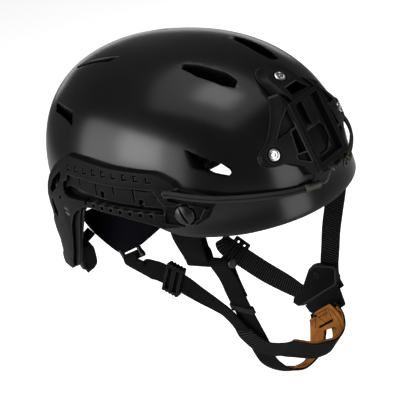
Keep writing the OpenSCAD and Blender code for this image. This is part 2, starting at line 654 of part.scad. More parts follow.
module hanger() {
    sleeve(hanger_y[0], hanger_y[1], bar_d / 2);
    band([[-91.5, -62.5, 14.5], [-91.4, -62.5, 5], [-89.8, -61.8, -7], [-86.4, -61.1, -20.5]],
        [shell_side, shell_side, [-0.12, 1, -0.04], hang], hanger_y[1] - hanger_y[0], 1.8, 3, 0);
}

module strap_hanger_right() color([0.1, 0.1, 0.1]) hanger();
module strap_hanger_left() color([0.1, 0.1, 0.1]) mirror([1, 0, 0]) hanger();

// Retention wings inside the ear openings

wing_low = [[-46, 26], [-38, 12], [-26, 2.7], [0, -14.4], [29, -27.8], [36, -26.5], [49, -20],
    [58, -14], [64, -9.5],
    [69.5, -4], [71, 1]];
wing_high = [[-46, 31], [34, 32], [44, 16], [60, 10], [67, 7.5], [71, 3]];
wing_x = [[-46, 81], [-32, 84], [-20, 85.6], [0, 86.2], [16, 85.7], [30, 84.3], [71, 80.6]];
wing_ys = [-46, -38, -30, -20, -10, 0, 8, 16, 23, 29, 36, 44, 52, 58, 64, 69.5, 71];

module wing() {
    na = len(wing_ys) - 1;
    nt = 3;
    at = function (i, j, in) let (y = wing_ys[i],
        z = lookup(y, wing_low) + (lookup(y, wing_high) - lookup(y, wing_low)) * j / nt)
        [-(lookup(y, wing_x) - in) * (1 - 0.01 * pow(max(0, z - wall_h) / 9, 2)), y, z];
    outer = [for (j = [0:nt]) for (i = [0:na]) at(i, j, 0)];
    inner = [for (j = [0:nt]) for (i = [0:na]) at(i, j, 2)];
    w = na + 1;
    m = len(outer);
    quads = [for (j = [0:nt - 1]) for (i = [0:na - 1]) [j * w + i, (j + 1) * w + i, (j + 1) * w + i + 1,
        j * w + i + 1]];
    tris = [for (q = quads) each [[q[0], q[2], q[1]], [q[0], q[3], q[2]]]];
    border = concat([for (i = [0:na - 1]) [i, i + 1]],
        [for (j = [0:nt - 1]) [j * w + na, (j + 1) * w + na]],
        [for (i = [na:-1:1]) [nt * w + i, nt * w + i - 1]], [for (j = [nt:-1:1]) [j * w, (j - 1) * w]]);
    polyhedron(concat(outer, inner), concat(tris, [for (t = tris) [t[2], t[1], t[0]] + [m, m, m]],
        [for (e = border) each [[e[1], e[0], e[1] + m], [e[0], e[0] + m, e[1] + m]]]));
}

module retention_wing_right() color([0.03, 0.03, 0.045]) wing();
module retention_wing_left() color([0.03, 0.03, 0.045]) mirror([1, 0, 0]) wing();

// Metal loop sewn to the slanted edge of the wing. Its lower bar carries the rear strap.
slant = [0, -0.923, 0.385];
slant_up = [0, 0.385, 0.923];
rear_bar_d = 4;
rear_eye_gap = 2;
rear_eye_w = web_w - 1;

module on_slant(s, up) {
    translate(rear_eye + slant * s + slant_up * up) rotate([-22.64, 0, 0]) children();
}

module slant_rod(s0, s1, r) {
    along(rear_eye + slant * s0, slant) cylinder(r = r, h = s1 - s0, $fn = 40);
}

module wing_loop() {
    slant_rod(-rear_eye_w / 2 - 4.4, rear_eye_w / 2 + 4.4, rear_bar_d / 2);
    for (s = [-1, 1]) on_slant(s * (rear_eye_w / 2 + 2.9), 5.5) cube([2.6, 3, 11], center = true);
    on_slant(0, 9.7) cube([2.6, rear_eye_w + 8.8, 2.6], center = true);
}

module wing_loop_right() color([0.1, 0.1, 0.1]) wing_loop();
module wing_loop_left() color([0.1, 0.1, 0.1]) mirror([1, 0, 0]) wing_loop();

module rear_eye_sleeve() difference() {
    slant_rod(-rear_eye_w / 2, rear_eye_w / 2, rear_bar_d / 2 + rear_eye_gap + web_t);
    slant_rod(-web_w, web_w, rear_bar_d / 2 + rear_eye_gap);
}

module link_strap() band([[-82, 62.6, -10], [-86, 63.5, -11.7], [-92.4, 65, -14]],
    [[0, 0.45, 0.9], [0, 0.45, 0.9], [0, 0.45, 0.9]], 9, 1.4, 2, 0);

module link_strap_right() color([0.08, 0.08, 0.08]) link_strap();
module link_strap_left() color([0.08, 0.08, 0.08]) mirror([1, 0, 0]) link_strap();

// Nape fit

nape_out = -shell_t - 0.6;
nape_low = [[121, -46], [127, -49], [137, -40], [145, -28], [151, -19], [180, -19]];
nape_high = [[121, -20], [132, -8], [145, 1], [180, 4]];

module nape_carrier() color([0.08, 0.08, 0.08]) resize([0, 0, 0]) {
    patch(121, 239, function (u) lookup(turn_of(121 + 118 * u), nape_low) - wall_h,
        function (u) lookup(turn_of(121 + 118 * u), nape_high) - wall_h, nape_out, 1.8, 1.8, 30, 3);
    translate([-14, shell_rear - 23, -62]) cube([28, 2.6, 65.5]);
    translate([-14, shell_rear - 23, 1]) cube([28, 19.6, 2.5]);
}

// Cushion in front of the dial, and a cushion in each leg of the shell
module nape_pad() color([0.06, 0.06, 0.065]) {
    nx = 12;
    nz = 12;
    bulge = function (u, v) 3 + 6 * (1 - pow(abs(2 * u - 1), 4)) * (1 - pow(abs(2 * v - 1), 4));
    at = function (i, j, in) let (u = i / nx, v = j / nz)
        [44 * (u - 0.5), shell_rear - 23.3 - in * bulge(u, v), -62 + 56 * v];
    back = [for (j = [0:nz]) for (i = [0:nx]) at(i, j, 0)];
    front = [for (j = [0:nz]) for (i = [0:nx]) at(i, j, 1)];
    w = nx + 1;
    m = len(back);
    quads = [for (j = [0:nz - 1]) for (i = [0:nx - 1]) [j * w + i, (j + 1) * w + i, (j + 1) * w + i + 1,
        j * w + i + 1]];
    tris = [for (q = quads) each [[q[0], q[1], q[2]], [q[0], q[2], q[3]]]];
    border = concat([for (i = [0:nx - 1]) [i, i + 1]],
        [for (j = [0:nz - 1]) [j * w + nx, (j + 1) * w + nx]],
        [for (i = [nx:-1:1]) [nz * w + i, nz * w + i - 1]], [for (j = [nz:-1:1]) [j * w, (j - 1) * w]]);
    polyhedron(concat(back, front), concat([for (t = tris) [t[2], t[1], t[0]]],
        [for (t = tris) t + [m, m, m]],
        [for (e = border) each [[e[1], e[0], e[1] + m], [e[0], e[0] + m, e[1] + m]]]));
}

module leg_pad(a0, a1) color([0.06, 0.06, 0.065])
    patch(a0, a1, function (u) -51 - wall_h, function (u) -25 - wall_h, nape_out - 2.1, 13, 5, 10, 8);
module leg_pad_right() leg_pad(228, 238.5);
module leg_pad_left() leg_pad(121.5, 132);

dial_at = [0, shell_rear - 11.5, -46];

module dial_part() {
    translate(dial_at) rotate([-90, 0, 0]) children();
}

module dial_housing() color([0.1, 0.1, 0.1]) dial_part() difference() {
    union() {
        translate([0, 0, -8.6]) cylinder(d = dial_d - 4, h = 7.4, $fn = 64);
        translate([0, 0, -1.4]) cylinder(d = 10, h = 1.9, $fn = 48);
    }
    translate([0, 0, -12]) cylinder(d = 5.2, h = 20, $fn = 32);
}

module dial_knob() color([0.05, 0.05, 0.05]) dial_part() difference() {
    union() {
        translate([0, 0, 0.8]) cylinder(d = dial_d - 3, h = dial_t - 1.4, $fn = 96);
        for (i = [0:23]) rotate([0, 0, 15 * i]) translate([dial_d / 2 - 1.9, 0, 0.8])
            cylinder(d = 2.4, h = dial_t - 2.4, $fn = 16);
    }
    translate([0, 0, -1]) cylinder(d = 5, h = 8, $fn = 32);
}

module dial_pin() color([0.5, 0.5, 0.5]) dial_part() {
    translate([0, 0, -8.5]) cylinder(d = 4.9, h = 15.4, $fn = 32);
}

// Chin straps. The right set and the chin cup swing on the right bars, the left set on the left.

front_right_run = [[-83, -84, -24.9], [-82.7, -84.2, -28.5], [-80.5, -84.7, -38.5], [-76, -83.2, -55.4],
    [-71, -81.3, -71.1], [-65, -79.3, -88.5], [-58.5, -76.7, -105.6], [-52, -72.6, -120]];
rear_right_run = [[-83.05, 14.4, -34.1], [-82.9, 12.5, -37.2], [-82.7, 8.2, -39.2], [-82.1, -1.5, -40.1],
    [-81.3, -10.5, -42.2], [-80.2, -21, -47.4], [-79.1, -31.5, -52.6], [-77.4, -43.2, -60.8],
    [-75.4, -54.8, -68.6], [-72.8, -63.9, -77.2], [-68.6, -68.2, -89.7], [-67.2, -70.1, -95.4]];
rear_right_wide = [[0, 0.923, -0.385], [0, 0.9, -0.43], [0, 0.85, -0.5], [-0.1, 0.75, -0.65],
    [-0.18, 0.66, -0.73], [-0.18, 0.66, -0.73], [-0.15, 0.66, -0.73], [0, 0.68, -0.73],
    [0.15, 0.69, -0.7], [0.25, 0.7, -0.66], [0.2, 0.9, -0.35], [0.1, 0.95, -0.3]];
front_left_run = [[83, -84, -24.9], [82.8, -83.9, -28.5], [81.5, -81, -38], [78, -75.5, -57],
    [74.5, -70, -77], [71.5, -66.5, -95], [68.6, -64, -109], [67.2, -63, -119]];
rear_left_run = [[83, 14.1, -34.6], [82.6, 13.5, -40], [81.4, 16.5, -54], [78.6, 31, -71], [74.8, 50, -85],
    [71, 60.5, -96], [68, 60, -106], [67, 49.5, -112.3], [66.7, 38, -118.1], [66.5, 15, -130],
    [66.9, -8, -140], [67.4, -20, -146], [67.4, -27, -149.5]];
rear_left_wide = [[0, 0.923, -0.385], [0, 0.95, -0.25], [0.1, 0.95, 0.1], [0.3, 0.8, 0.4],
    [0.5, 0.65, 0.5], [0.7, 0.3, 0.5], [0.75, -0.25, 0.6], [0.72, -0.31, 0.62], [0.7, -0.32, 0.64],
    [0.6, -0.35, 0.7], [0.3, -0.4, 0.85], [0.05, -0.4, 0.9], [0, -0.4, 0.9]];

module front_eye() {
    sleeve(front_strap_y[0], front_strap_y[1], bar_d / 2 + bar_gap);
}

module front_strap_right() color([0.1, 0.1, 0.1]) {
    front_eye();
    band(front_right_run, [for (p = front_right_run) hang], web_w, web_t, 3, 0);
}

module rear_strap_right() color([0.1, 0.1, 0.1]) resize([0, 0, 0]) {
    rear_eye_sleeve();
    band(rear_right_run, rear_right_wide, web_w, web_t, 3, 0);
}

module front_strap_left() color([0.1, 0.1, 0.1]) {
    mirror([1, 0, 0]) front_eye();
    band(front_left_run, [for (p = front_left_run) hang], web_w, web_t, 3, 0);
}

module rear_strap_left() color([0.1, 0.1, 0.1]) {
    mirror([1, 0, 0]) rear_eye_sleeve();
    band(rear_left_run, rear_left_wide, web_w, web_t, 3, 0);
}

// Puts its children on a strap with Z off its face, Y along it and X across it
module on_strap(a, b, wide) {
    y = (b - a) / norm(b - a);
    s = wide - (wide * y) * y;
    x = s / norm(s);
    z = cross(x, y);
    c = (a + b) / 2;
    multmatrix([[x[0], y[0], z[0], c[0]], [x[1], y[1], z[1], c[1]], [x[2], y[2], z[2], c[2]],
        [0, 0, 0, 1]])
        children();
}

slide_gap = 0.5;
slide_side = 1;

module adjuster() {
    difference() {
        union() {
            translate([-web_w / 2 - 3.4, -8, -2.9]) cube([web_w + 6.8, 16, 5.8]);
            for (s = [-1, 1]) for (i = [-2:2])
                translate([s * (web_w / 2 + 3.2), i * 3.2, -2.9]) cylinder(d = 2, h = 5.8, $fn = 16);
        }
        translate([-web_w / 2 - slide_side, -20, -web_t / 2 - slide_gap])
            cube([web_w + 2 * slide_side, 40, web_t + 2 * slide_gap]);
        for (s = [0, 1]) mirror([0, 0, s]) {
            translate([-web_w / 2 - slide_side, -5.8, 0]) cube([web_w + 2 * slide_side, 4.2, 10]);
            translate([-web_w / 2 - slide_side, 1.6, 0]) cube([web_w + 2 * slide_side, 4.2, 10]);
        }
    }
}

module adjuster_right() color([0.13, 0.13, 0.13])
    on_strap(rear_right_run[4], rear_right_run[6], rear_right_wide[5]) adjuster();
module adjuster_left() color([0.13, 0.13, 0.13])
    on_strap(rear_left_run[6], rear_left_run[8], rear_left_wide[7]) translate([0, 1, 0]) adjuster();

module strap_keeper() color([0.09, 0.09, 0.09]) on_strap(front_right_run[3], front_right_run[4], hang)
    translate([0, 8.6, 0]) difference() {
    translate([-web_w / 2 - 1.2, -3.5, -2]) cube([web_w + 2.4, 7, 4]);
    translate([-web_w / 2 - slide_gap, -20, -web_t / 2 - slide_gap])
        cube([web_w + 2 * slide_gap, 40, web_t + 2 * slide_gap]);
}

cup_upper_run = [[-66.8, -70.9, -96.4], [-65.8, -73.5, -102.9], [-59.4, -80.2, -116], [-46.2, -83.6, -126.3],
    [-30.5, -80, -136.7], [-14, -76, -149.4], [2, -77, -160.7], [14, -79, -166.3], [29, -81, -170],
    [45, -77, -168], [56, -69, -161], [60.4, -60, -152.5]];
cup_upper_wide = [[0.1, 0.95, -0.3], [0.05, 0.9, -0.45], [0, 0.8, -0.6], [0, 0.7, -0.7], [0, 0.67, -0.74],
    [0, 0.62, -0.79], [0, 0.57, -0.82], [0, 0.5, -0.87], [0, 0.62, -0.79], [0, 0.7, -0.71],
    [0, 0.8, -0.6], [0, 0.85, -0.5]];
cup_lower_run = [[-51.1, -71.5, -121.8], [-43.2, -63.5, -136], [-33, -59.5, -154], [-17, -56.7, -172],
    [5, -54, -186.5], [21, -57, -187], [37, -55, -180], [52, -48.4, -169.4], [60.3, -42.2, -160.2]];
cup_lower_wide = [[0, 1, 0], [0, 0.97, -0.2], [0, 0.95, -0.3], [0, 0.97, -0.2], [0, 0.94, -0.34],
    [0, 0.84, -0.54], [0, 0.86, -0.5], [0, 0.9, -0.4], [0, 0.85, -0.5]];
// Leather lies inside the cup from these points of its straps on
lined_upper = 4;
lined_lower = 3;
lining_gap = 0.6;

lining_t = 2;
plate_x = 62;
plate_outline = [[-14, -157], [-16, -151.5], [-29, -139.5], [-43, -116], [-48, -111.5], [-54, -109.5],
    [-73, -108.5], [-75.5, -111], [-71, -129], [-27, -158], [-19, -160]];
lip_root = [[-71, -129], [-37, -151.4], [-37, -143], [-66, -121], [-72.5, -121]];
lip_outline = [[-71, -125], [-37, -147], [-38, -157], [-66, -138], [-74, -133]];
half_outline = [[-71.3, -129.4], [-27.05, -158.45], [-31, -165], [-44, -170], [-66, -156], [-74, -151]];
tab_outline = [[-38, -155], [-44, -150], [-58, -146.5], [-68, -150], [-69, -155]];

function from(list, first) = [for (i = [first:len(list) - 1]) list[i]];

module chin_cup_upper() color([0.1, 0.1, 0.1]) band(cup_upper_run, cup_upper_wide, web_w, web_t, 3, 0);
module chin_cup_lower() color([0.1, 0.1, 0.1]) band(cup_lower_run, cup_lower_wide, web_w, web_t, 3, 0);
module chin_cup_lining() color([0.65, 0.38, 0.16]) resize([0, 0, 0]) {
    stand = (web_t + lining_t) / 2 + lining_gap;
    band(from(cup_upper_run, lined_upper), from(cup_upper_wide, lined_upper), web_w - 1, lining_t, 3, stand);
    band(from(cup_lower_run, lined_lower), from(cup_lower_wide, lined_lower), web_w - 1, lining_t, 3, stand);
    slab(plate_x - 6.4, plate_x - 4.4, tab_outline);
}

// Buckle, its plate on the left straps and its half on the chin cup

module slab(x0, x1, outline) {
    translate([x0, 0, 0]) rotate([90, 0, 90]) linear_extrude(x1 - x0) polygon(outline);
}

module buckle_plate() color([0.1, 0.1, 0.1]) {
    slab(plate_x, plate_x + 4, plate_outline);
    slab(plate_x + 3, plate_x + 7.5, lip_root);
    slab(plate_x + 4.3, plate_x + 7.5, lip_outline);
}

module buckle_stud() color([0.16, 0.16, 0.16]) translate([plate_x, -51, -121]) rotate([0, -90, 0])
    cylinder(d1 = 6, d2 = 4.6, h = 1.4, $fn = 32);

module buckle_half() color([0.1, 0.1, 0.1]) slab(plate_x + 0.2, plate_x + 4, half_outline);

shell();
impact_liner();
crown_pad();
front_pad();
rear_pad();
side_pad_right();
side_pad_left();
rail_right();
rail_left();
rail_screws();
rail_nuts();
shroud();
shroud_screws();
shroud_nuts();
shock_cord_right();
shock_cord_left();
cord_ferrule_right();
cord_ferrule_left();
cord_hook_right();
cord_hook_left();
strap_hanger_right();
strap_hanger_left();
strap_bar_right();
strap_bar_left();
retention_wing_right();
retention_wing_left();
wing_loop_right();
wing_loop_left();
link_strap_right();
link_strap_left();
nape_carrier();
nape_pad();
leg_pad_right();
leg_pad_left();
dial_housing();
dial_knob();
dial_pin();
front_strap_right();
front_strap_left();
rear_strap_right();
rear_strap_left();
adjuster_right();
adjuster_left();
strap_keeper();
chin_cup_upper();
chin_cup_lower();
chin_cup_lining();
buckle_plate();
buckle_stud();
buckle_half();
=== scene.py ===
import json
import math

import bmesh
import bpy
from mathutils import Matrix, Vector


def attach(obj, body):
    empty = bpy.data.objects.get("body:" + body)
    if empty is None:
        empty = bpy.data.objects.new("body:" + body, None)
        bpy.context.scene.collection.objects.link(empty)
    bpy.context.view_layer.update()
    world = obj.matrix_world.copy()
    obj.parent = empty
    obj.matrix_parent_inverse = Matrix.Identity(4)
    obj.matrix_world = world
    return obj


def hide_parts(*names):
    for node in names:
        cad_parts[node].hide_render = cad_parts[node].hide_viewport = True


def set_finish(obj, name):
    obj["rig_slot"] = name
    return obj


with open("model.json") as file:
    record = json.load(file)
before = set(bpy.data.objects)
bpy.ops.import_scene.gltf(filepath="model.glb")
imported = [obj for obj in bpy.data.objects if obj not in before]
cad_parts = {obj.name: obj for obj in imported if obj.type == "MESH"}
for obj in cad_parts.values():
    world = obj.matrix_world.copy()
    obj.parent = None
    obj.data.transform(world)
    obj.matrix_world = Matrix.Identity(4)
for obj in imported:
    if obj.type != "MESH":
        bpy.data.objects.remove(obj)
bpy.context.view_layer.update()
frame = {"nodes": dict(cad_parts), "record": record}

MM = 0.001
NODES = frame["nodes"]
BODY_OF = {name: body for body, names in frame["record"]["behaviour"]["bodies"].items() for name in names}

# Vertices nearer than this, in metres, are made one: in copies of solids, and where formed grids meet
WELD, GRID_WELD = 1e-6, 2e-5


# Camera, light and floor

# The photograph's view: turn from the front (minus is the wearer's right), rise and roll, then distances
VIEW_TURN, VIEW_RISE, VIEW_ROLL = -43.78, 23.01, 15.69
VIEW_CENTRE, VIEW_REACH, VIEW_LEFT, VIEW_DOWN = Vector((0, 0, 0.060)), 1.010, 0.00454, 0.06879
SENSOR, LENS = 36, 106.35
LIGHT_AIM = Vector((0, 0, 0.05))
WORLD_LIGHT, MIRRORED_WHITE, FLOOR_GLOW = 0.05, 0.06, 0.8
FLOOR_R, FLOOR_Z = 6, -0.26
# Name, turn from the front and rise in degrees, reach, width and height in metres, power in watts
LIGHTS = (
    ("side_box", -116, 14, 1.5, 1.8, 1.0, 18),
    ("side_box_middle", -112, 20, 1.45, 0.65, 0.6, 7),
    ("front_strip", -4, -2, 0.75, 0.35, 0.42, 1.5),
    ("top_box", 5, 77, 1.3, 0.55, 0.55, 3.6),
    ("top_box_wide", 5, 82, 1.35, 1.6, 1.6, 9),
    ("back_panel", 136, 4, 1.6, 1.6, 0.3, 1.6),
)


def towards(turn, rise):
    """Direction at a turn from the front (minus is the wearer's right) and a rise, in degrees."""
    a, e = math.radians(turn), math.radians(rise)
    return Vector((math.sin(a) * math.cos(e), -math.cos(a) * math.cos(e), math.sin(e)))


def standing(x, y, z, spot):
    """Matrix of a place whose axes point along x, y and z."""
    place = Matrix((x, y, z)).transposed().to_4x4()
    place.translation = spot
    return place


def place_camera():
    """The photograph's view, rolled about its line of sight."""
    a, r = math.radians(VIEW_TURN), math.radians(VIEW_ROLL)
    side = Vector((math.cos(a), math.sin(a), 0))
    back = towards(VIEW_TURN, VIEW_RISE)
    lift = back.cross(side)
    right, up = side * math.cos(r) - lift * math.sin(r), side * math.sin(r) + lift * math.cos(r)
    spot = VIEW_CENTRE + back * VIEW_REACH - side * VIEW_LEFT - lift * VIEW_DOWN
    data = bpy.data.cameras.new("front_right_view")
    data.sensor_width = SENSOR
    data.lens = LENS
    data.clip_start = 0.01
    camera = bpy.data.objects.new("front_right_view", data)
    camera.matrix_world = standing(right, up, back, spot)
    bpy.context.scene.collection.objects.link(camera)
    bpy.context.scene.camera = camera


def soft_box(name, turn, rise, reach, width, height, power):
    """A soft light that faces the helmet."""
    away = towards(turn, rise)
    data = bpy.data.lights.new(name, "AREA")
    data.shape = "RECTANGLE"
    data.size, data.size_y = width, height
    data.energy = power
    lamp = bpy.data.objects.new(name, data)
    lamp.location = away * reach + LIGHT_AIM
    lamp.rotation_euler = away.to_track_quat("Z", "Y").to_euler()
    lamp.visible_camera = False
    bpy.context.scene.collection.objects.link(lamp)


def studio():
    """White surroundings, a pale floor and the soft lights."""
    world = bpy.data.worlds.new("white_studio")
    bpy.context.scene.world = world
    world.use_nodes = True
    tree = world.node_tree
    tree.nodes.clear()
    seen = white_where_seen(tree)
    ground = node(tree, "Background", {"Color": (1, 1, 1, 1), "Strength": WORLD_LIGHT})
    white = node(tree, "Background", {"Color": (1, 1, 1, 1), "Strength": 1.0})
    mix = node(tree, "MixShader", {0: seen, 1: ground.outputs[0], 2: white.outputs[0]})
    tree.links.new(mix.outputs[0], node(tree, "OutputWorld").inputs[0])

    bm = bmesh.new()
    bmesh.ops.create_circle(bm, cap_ends=True, segments=96, radius=FLOOR_R)
    bmesh.ops.translate(bm, verts=bm.verts, vec=(0, 0, FLOOR_Z))
    floor = as_object(bm, "floor", floor_finish(), 30)

    for light in LIGHTS:
        soft_box(*light)


# Node helpers

def node(tree, kind, inputs=None, **settings):
    """A new shader node; an input takes a value, or the output that feeds it."""
    made = tree.nodes.new("ShaderNode" + kind)
    for key, value in settings.items():
        setattr(made, key, value)
    for key, value in (inputs or {}).items():
        if isinstance(value, bpy.types.NodeSocket):
            tree.links.new(value, made.inputs[key])
        else:
            made.inputs[key].default_value = value
    return made


def white_where_seen(tree):
    """Share of white that a ray meets: all straight from the camera and through glass, less in gloss."""
    path = node(tree, "LightPath")
    mirrored_white = node(tree, "Math", {0: path.outputs["Is Glossy Ray"], 1: MIRRORED_WHITE},
                          operation="MULTIPLY")
    either = node(tree, "Math", {0: path.outputs["Is Camera Ray"], 1: mirrored_white.outputs[0]},
                  operation="MAXIMUM")
    return node(tree, "Math", {0: either.outputs[0], 1: path.outputs["Is Transmission Ray"]},
                operation="MAXIMUM").outputs[0]


def new_finish(name, **sockets):
    """A material with those values on its shader's sockets, which are named in small letters."""
    finish = bpy.data.materials.new(name)
    finish.use_nodes = True
    tree = finish.node_tree
    shader = tree.nodes["Principled BSDF"]
    for key, value in sockets.items():
        shader.inputs[key.replace("_", " ").title().replace("Ior", "IOR")].default_value = value
    return finish, tree, shader


def place_on_object(tree, scale=(1, 1, 1)):
    """Place in the object's own coordinates."""
    where = node(tree, "TexCoord")
    return node(tree, "Mapping", {"Vector": where.outputs["Object"], "Scale": scale}).outputs[0]


def place_on_cloth(tree, turn=0):
    """Place on a band or cord: X round it and Y along it, in metres."""
    where = node(tree, "UVMap", uv_map="cloth")
    return node(tree, "Mapping", {"Vector": where.outputs[0],
                                  "Rotation": (0, 0, math.radians(turn))}).outputs[0]


def shades(tree, factor, low, high, start=0.3, end=0.7):
    """Colour between two colours, by a factor that runs from start to end."""
    ramp = node(tree, "ValToRGB", {"Fac": factor})
    ramp.color_ramp.elements[0].position = start
    ramp.color_ramp.elements[0].color = (*low, 1)
    ramp.color_ramp.elements[1].position = end
    ramp.color_ramp.elements[1].color = (*high, 1)
    return ramp.outputs[0]


def painted(tree, shader, *ramp):
    tree.links.new(shades(tree, *ramp), shader.inputs["Base Color"])


def levels(tree, factor, low, high):
    """Value from low to high, by a factor from 0 to 1."""
    return node(tree, "MapRange", {"Value": factor, "To Min": low, "To Max": high}).outputs[0]


def bumped(tree, shader, height, strength, depth, under=None):
    """Gives the shader a bump of that depth in metres, over the one under it."""
    inputs = {"Height": height, "Strength": strength, "Distance": depth}
    if under is not None:
        inputs["Normal"] = under
    bump = node(tree, "Bump", inputs)
    tree.links.new(bump.outputs[0], shader.inputs["Normal"])
    return bump.outputs[0]


# Finishes

def floor_finish():
    finish, tree, shader = new_finish("pale_floor", roughness=0.9)
    cloud = node(tree, "TexNoise", {"Vector": place_on_object(tree), "Scale": 3.0})
    painted(tree, shader, cloud.outputs[0], (0.86, 0.86, 0.86), (0.88, 0.88, 0.88))
    glow = node(tree, "Emission", {"Color": (1, 1, 1, 1), "Strength": FLOOR_GLOW})
    dark = node(tree, "Emission", {"Color": (0, 0, 0, 1), "Strength": 0.0})
    lit = node(tree, "MixShader", {0: white_where_seen(tree), 1: dark.outputs[0], 2: glow.outputs[0]})
    both = node(tree, "AddShader", {0: shader.outputs[0], 1: lit.outputs[0]})
    tree.links.new(both.outputs[0], tree.nodes["Material Output"].inputs[0])
    return finish


def painted_edge_light_and_hollow_shade(tree, color, edge_wear_and_light):
    """Colour with raised edges painted lighter, as wear and as a painted highlight, and hollows painted
    darker as painted shade; also how open each place is.
    """
    edge = node(tree, "AmbientOcclusion", {"Distance": 1.5 * MM}, samples=8, inside=True, only_local=True)
    hollow_shade_ao = node(tree, "AmbientOcclusion", {"Distance": 4 * MM}, samples=8, only_local=True)
    # Painted highlight and wear: raised edges turn lighter where the inward rays meet a near face
    share = node(tree, "MapRange", {"Value": edge.outputs["AO"], "From Min": 0.8, "From Max": 0.4})
    lit = node(tree, "Mix", {0: share.outputs[0], "A": color, "B": (*edge_wear_and_light, 1)}, data_type="RGBA")
    open_share = node(tree, "MapRange", {"Value": hollow_shade_ao.outputs["AO"], "From Min": 0.45, "From Max": 0.95})
    # Painted shade: hollows darkened towards near black
    shaded = node(tree, "Mix", {0: open_share.outputs[0], "A": (0.0003, 0.0003, 0.0003, 1),
                                "B": lit.outputs["Result"]}, data_type="RGBA")
    return shaded.outputs["Result"], open_share.outputs[0]


def moulded(name, dark, light, rough, grain, depth, gloss=0.32, edge_wear_and_light=None):
    """Black moulded plastic with a fine grain and uneven gloss; the last argument, when given, is its colour
    on raised edges, painted lighter as wear and as a painted highlight, and it brings painted shade into the
    hollows.
    """
    uneven = 0.03
    finish, tree, shader = new_finish(name, roughness=rough, specular_ior_level=gloss)
    spot = place_on_object(tree)
    cloud = node(tree, "TexNoise", {"Vector": spot, "Scale": 28.0, "Detail": 4.0})
    color = shades(tree, cloud.outputs[0], dark, light)
    gloss_map = levels(tree, cloud.outputs[0], rough - uneven, rough + uneven)
    if edge_wear_and_light:
        color, open_share = painted_edge_light_and_hollow_shade(tree, color, edge_wear_and_light)
        gloss_map = node(tree, "Mix", {0: open_share, "A": 1.0, "B": gloss_map}).outputs["Result"]
    tree.links.new(color, shader.inputs["Base Color"])
    tree.links.new(gloss_map, shader.inputs["Roughness"])
    fine = node(tree, "TexNoise", {"Vector": spot, "Scale": grain, "Detail": 3.0, "Roughness": 0.6})
    wave = bumped(tree, shader, cloud.outputs[0], 0.05, 0.0004)
    bumped(tree, shader, fine.outputs[0], 0.35, depth, wave)
    return finish


def metal(name, dark, light, rough, scratch):
    """Metal whose roughness goes up and down by scratch."""
    finish, tree, shader = new_finish(name, metallic=1.0, roughness=rough)
    spot = place_on_object(tree, (1, 1, 3))
    cloud = node(tree, "TexNoise", {"Vector": spot, "Scale": 320.0, "Detail": 5.0})
    painted(tree, shader, cloud.outputs[0], dark, light)
    tree.links.new(levels(tree, cloud.outputs[0], rough - scratch, rough + scratch),
                   shader.inputs["Roughness"])
    bumped(tree, shader, cloud.outputs[0], 0.08, 0.0001)
    return finish


def band_scale(pitch):
    """Scale of a wave texture whose bands are that far apart, in mm."""
    return 2 * math.pi / (20 * pitch * MM)


def webbing(name, dark, light, pitch, depth):
    """Ribbed tape: cross ribs that far apart in mm, fine lengthwise yarns and a little fuzz."""
    yarn_pitch = 0.9
    finish, tree, shader = new_finish(name, roughness=0.8, specular_ior_level=0.05)
    ribs = node(tree, "TexWave", {"Vector": place_on_cloth(tree), "Scale": band_scale(pitch),
                                  "Distortion": 0.3, "Detail": 1.0, "Detail Scale": 1.6},
                bands_direction="Y")
    yarns = node(tree, "TexWave", {"Vector": place_on_cloth(tree), "Scale": band_scale(yarn_pitch),
                                   "Distortion": 0.5, "Detail": 1.0}, bands_direction="X")
    fuzz = node(tree, "TexNoise", {"Vector": place_on_cloth(tree), "Scale": 420.0, "Detail": 4.0})
    both = node(tree, "Math", {0: ribs.outputs["Fac"], 1: levels(tree, yarns.outputs["Fac"], 0.0, 0.2)},
                operation="ADD")
    mix = node(tree, "Math", {0: both.outputs[0], 1: levels(tree, fuzz.outputs[0], -0.15, 0.15)},
               operation="ADD")
    painted(tree, shader, mix.outputs[0], dark, light, 0.45, 1.0)
    bumped(tree, shader, mix.outputs[0], 1.0, depth)
    return finish


def braid():
    """Braided cover: two crossing sets of yarns round the cord."""
    finish, tree, shader = new_finish("cord_braid", roughness=0.8, specular_ior_level=0.3)
    one, two = (node(tree, "TexWave", {"Vector": place_on_cloth(tree, turn), "Scale": 900.0},
                     bands_direction="Y") for turn in (38, -38))
    over = node(tree, "Math", {0: one.outputs["Fac"], 1: two.outputs["Fac"]}, operation="MAXIMUM")
    painted(tree, shader, over.outputs[0], (0.008, 0.008, 0.009), (0.022, 0.022, 0.023))
    bumped(tree, shader, over.outputs[0], 0.7, 0.0002)
    return finish


def loop_cloth():
    """Brushed loop cloth of the pads."""
    finish, tree, shader = new_finish("loop_cloth", roughness=0.95, specular_ior_level=0.2)
    spot = place_on_object(tree)
    pile = node(tree, "TexVoronoi", {"Vector": spot, "Scale": 900.0})
    cloud = node(tree, "TexNoise", {"Vector": spot, "Scale": 60.0, "Detail": 5.0})
    mix = node(tree, "Math", {0: pile.outputs[0], 1: cloud.outputs[0]}, operation="MULTIPLY")
    painted(tree, shader, mix.outputs[0], (0.004, 0.004, 0.004), (0.012, 0.012, 0.0125), 0.05, 0.4)
    wave = bumped(tree, shader, cloud.outputs[0], 0.3, 0.0008)
    bumped(tree, shader, pile.outputs[0], 0.6, 0.0003, wave)
    return finish


def bead_foam():
    """Moulded foam of small pressed beads."""
    finish, tree, shader = new_finish("bead_foam", roughness=0.9, specular_ior_level=0.04)
    cells = node(tree, "TexVoronoi", {"Vector": place_on_object(tree), "Scale": 330.0},
                 feature="DISTANCE_TO_EDGE")
    edge = node(tree, "MapRange", {"Value": cells.outputs[0], "From Max": 0.12}).outputs[0]
    painted(tree, shader, edge, (0.001, 0.001, 0.001), (0.004, 0.004, 0.0042), 0.0, 1.0)
    bumped(tree, shader, edge, 0.5, 0.0005)
    return finish


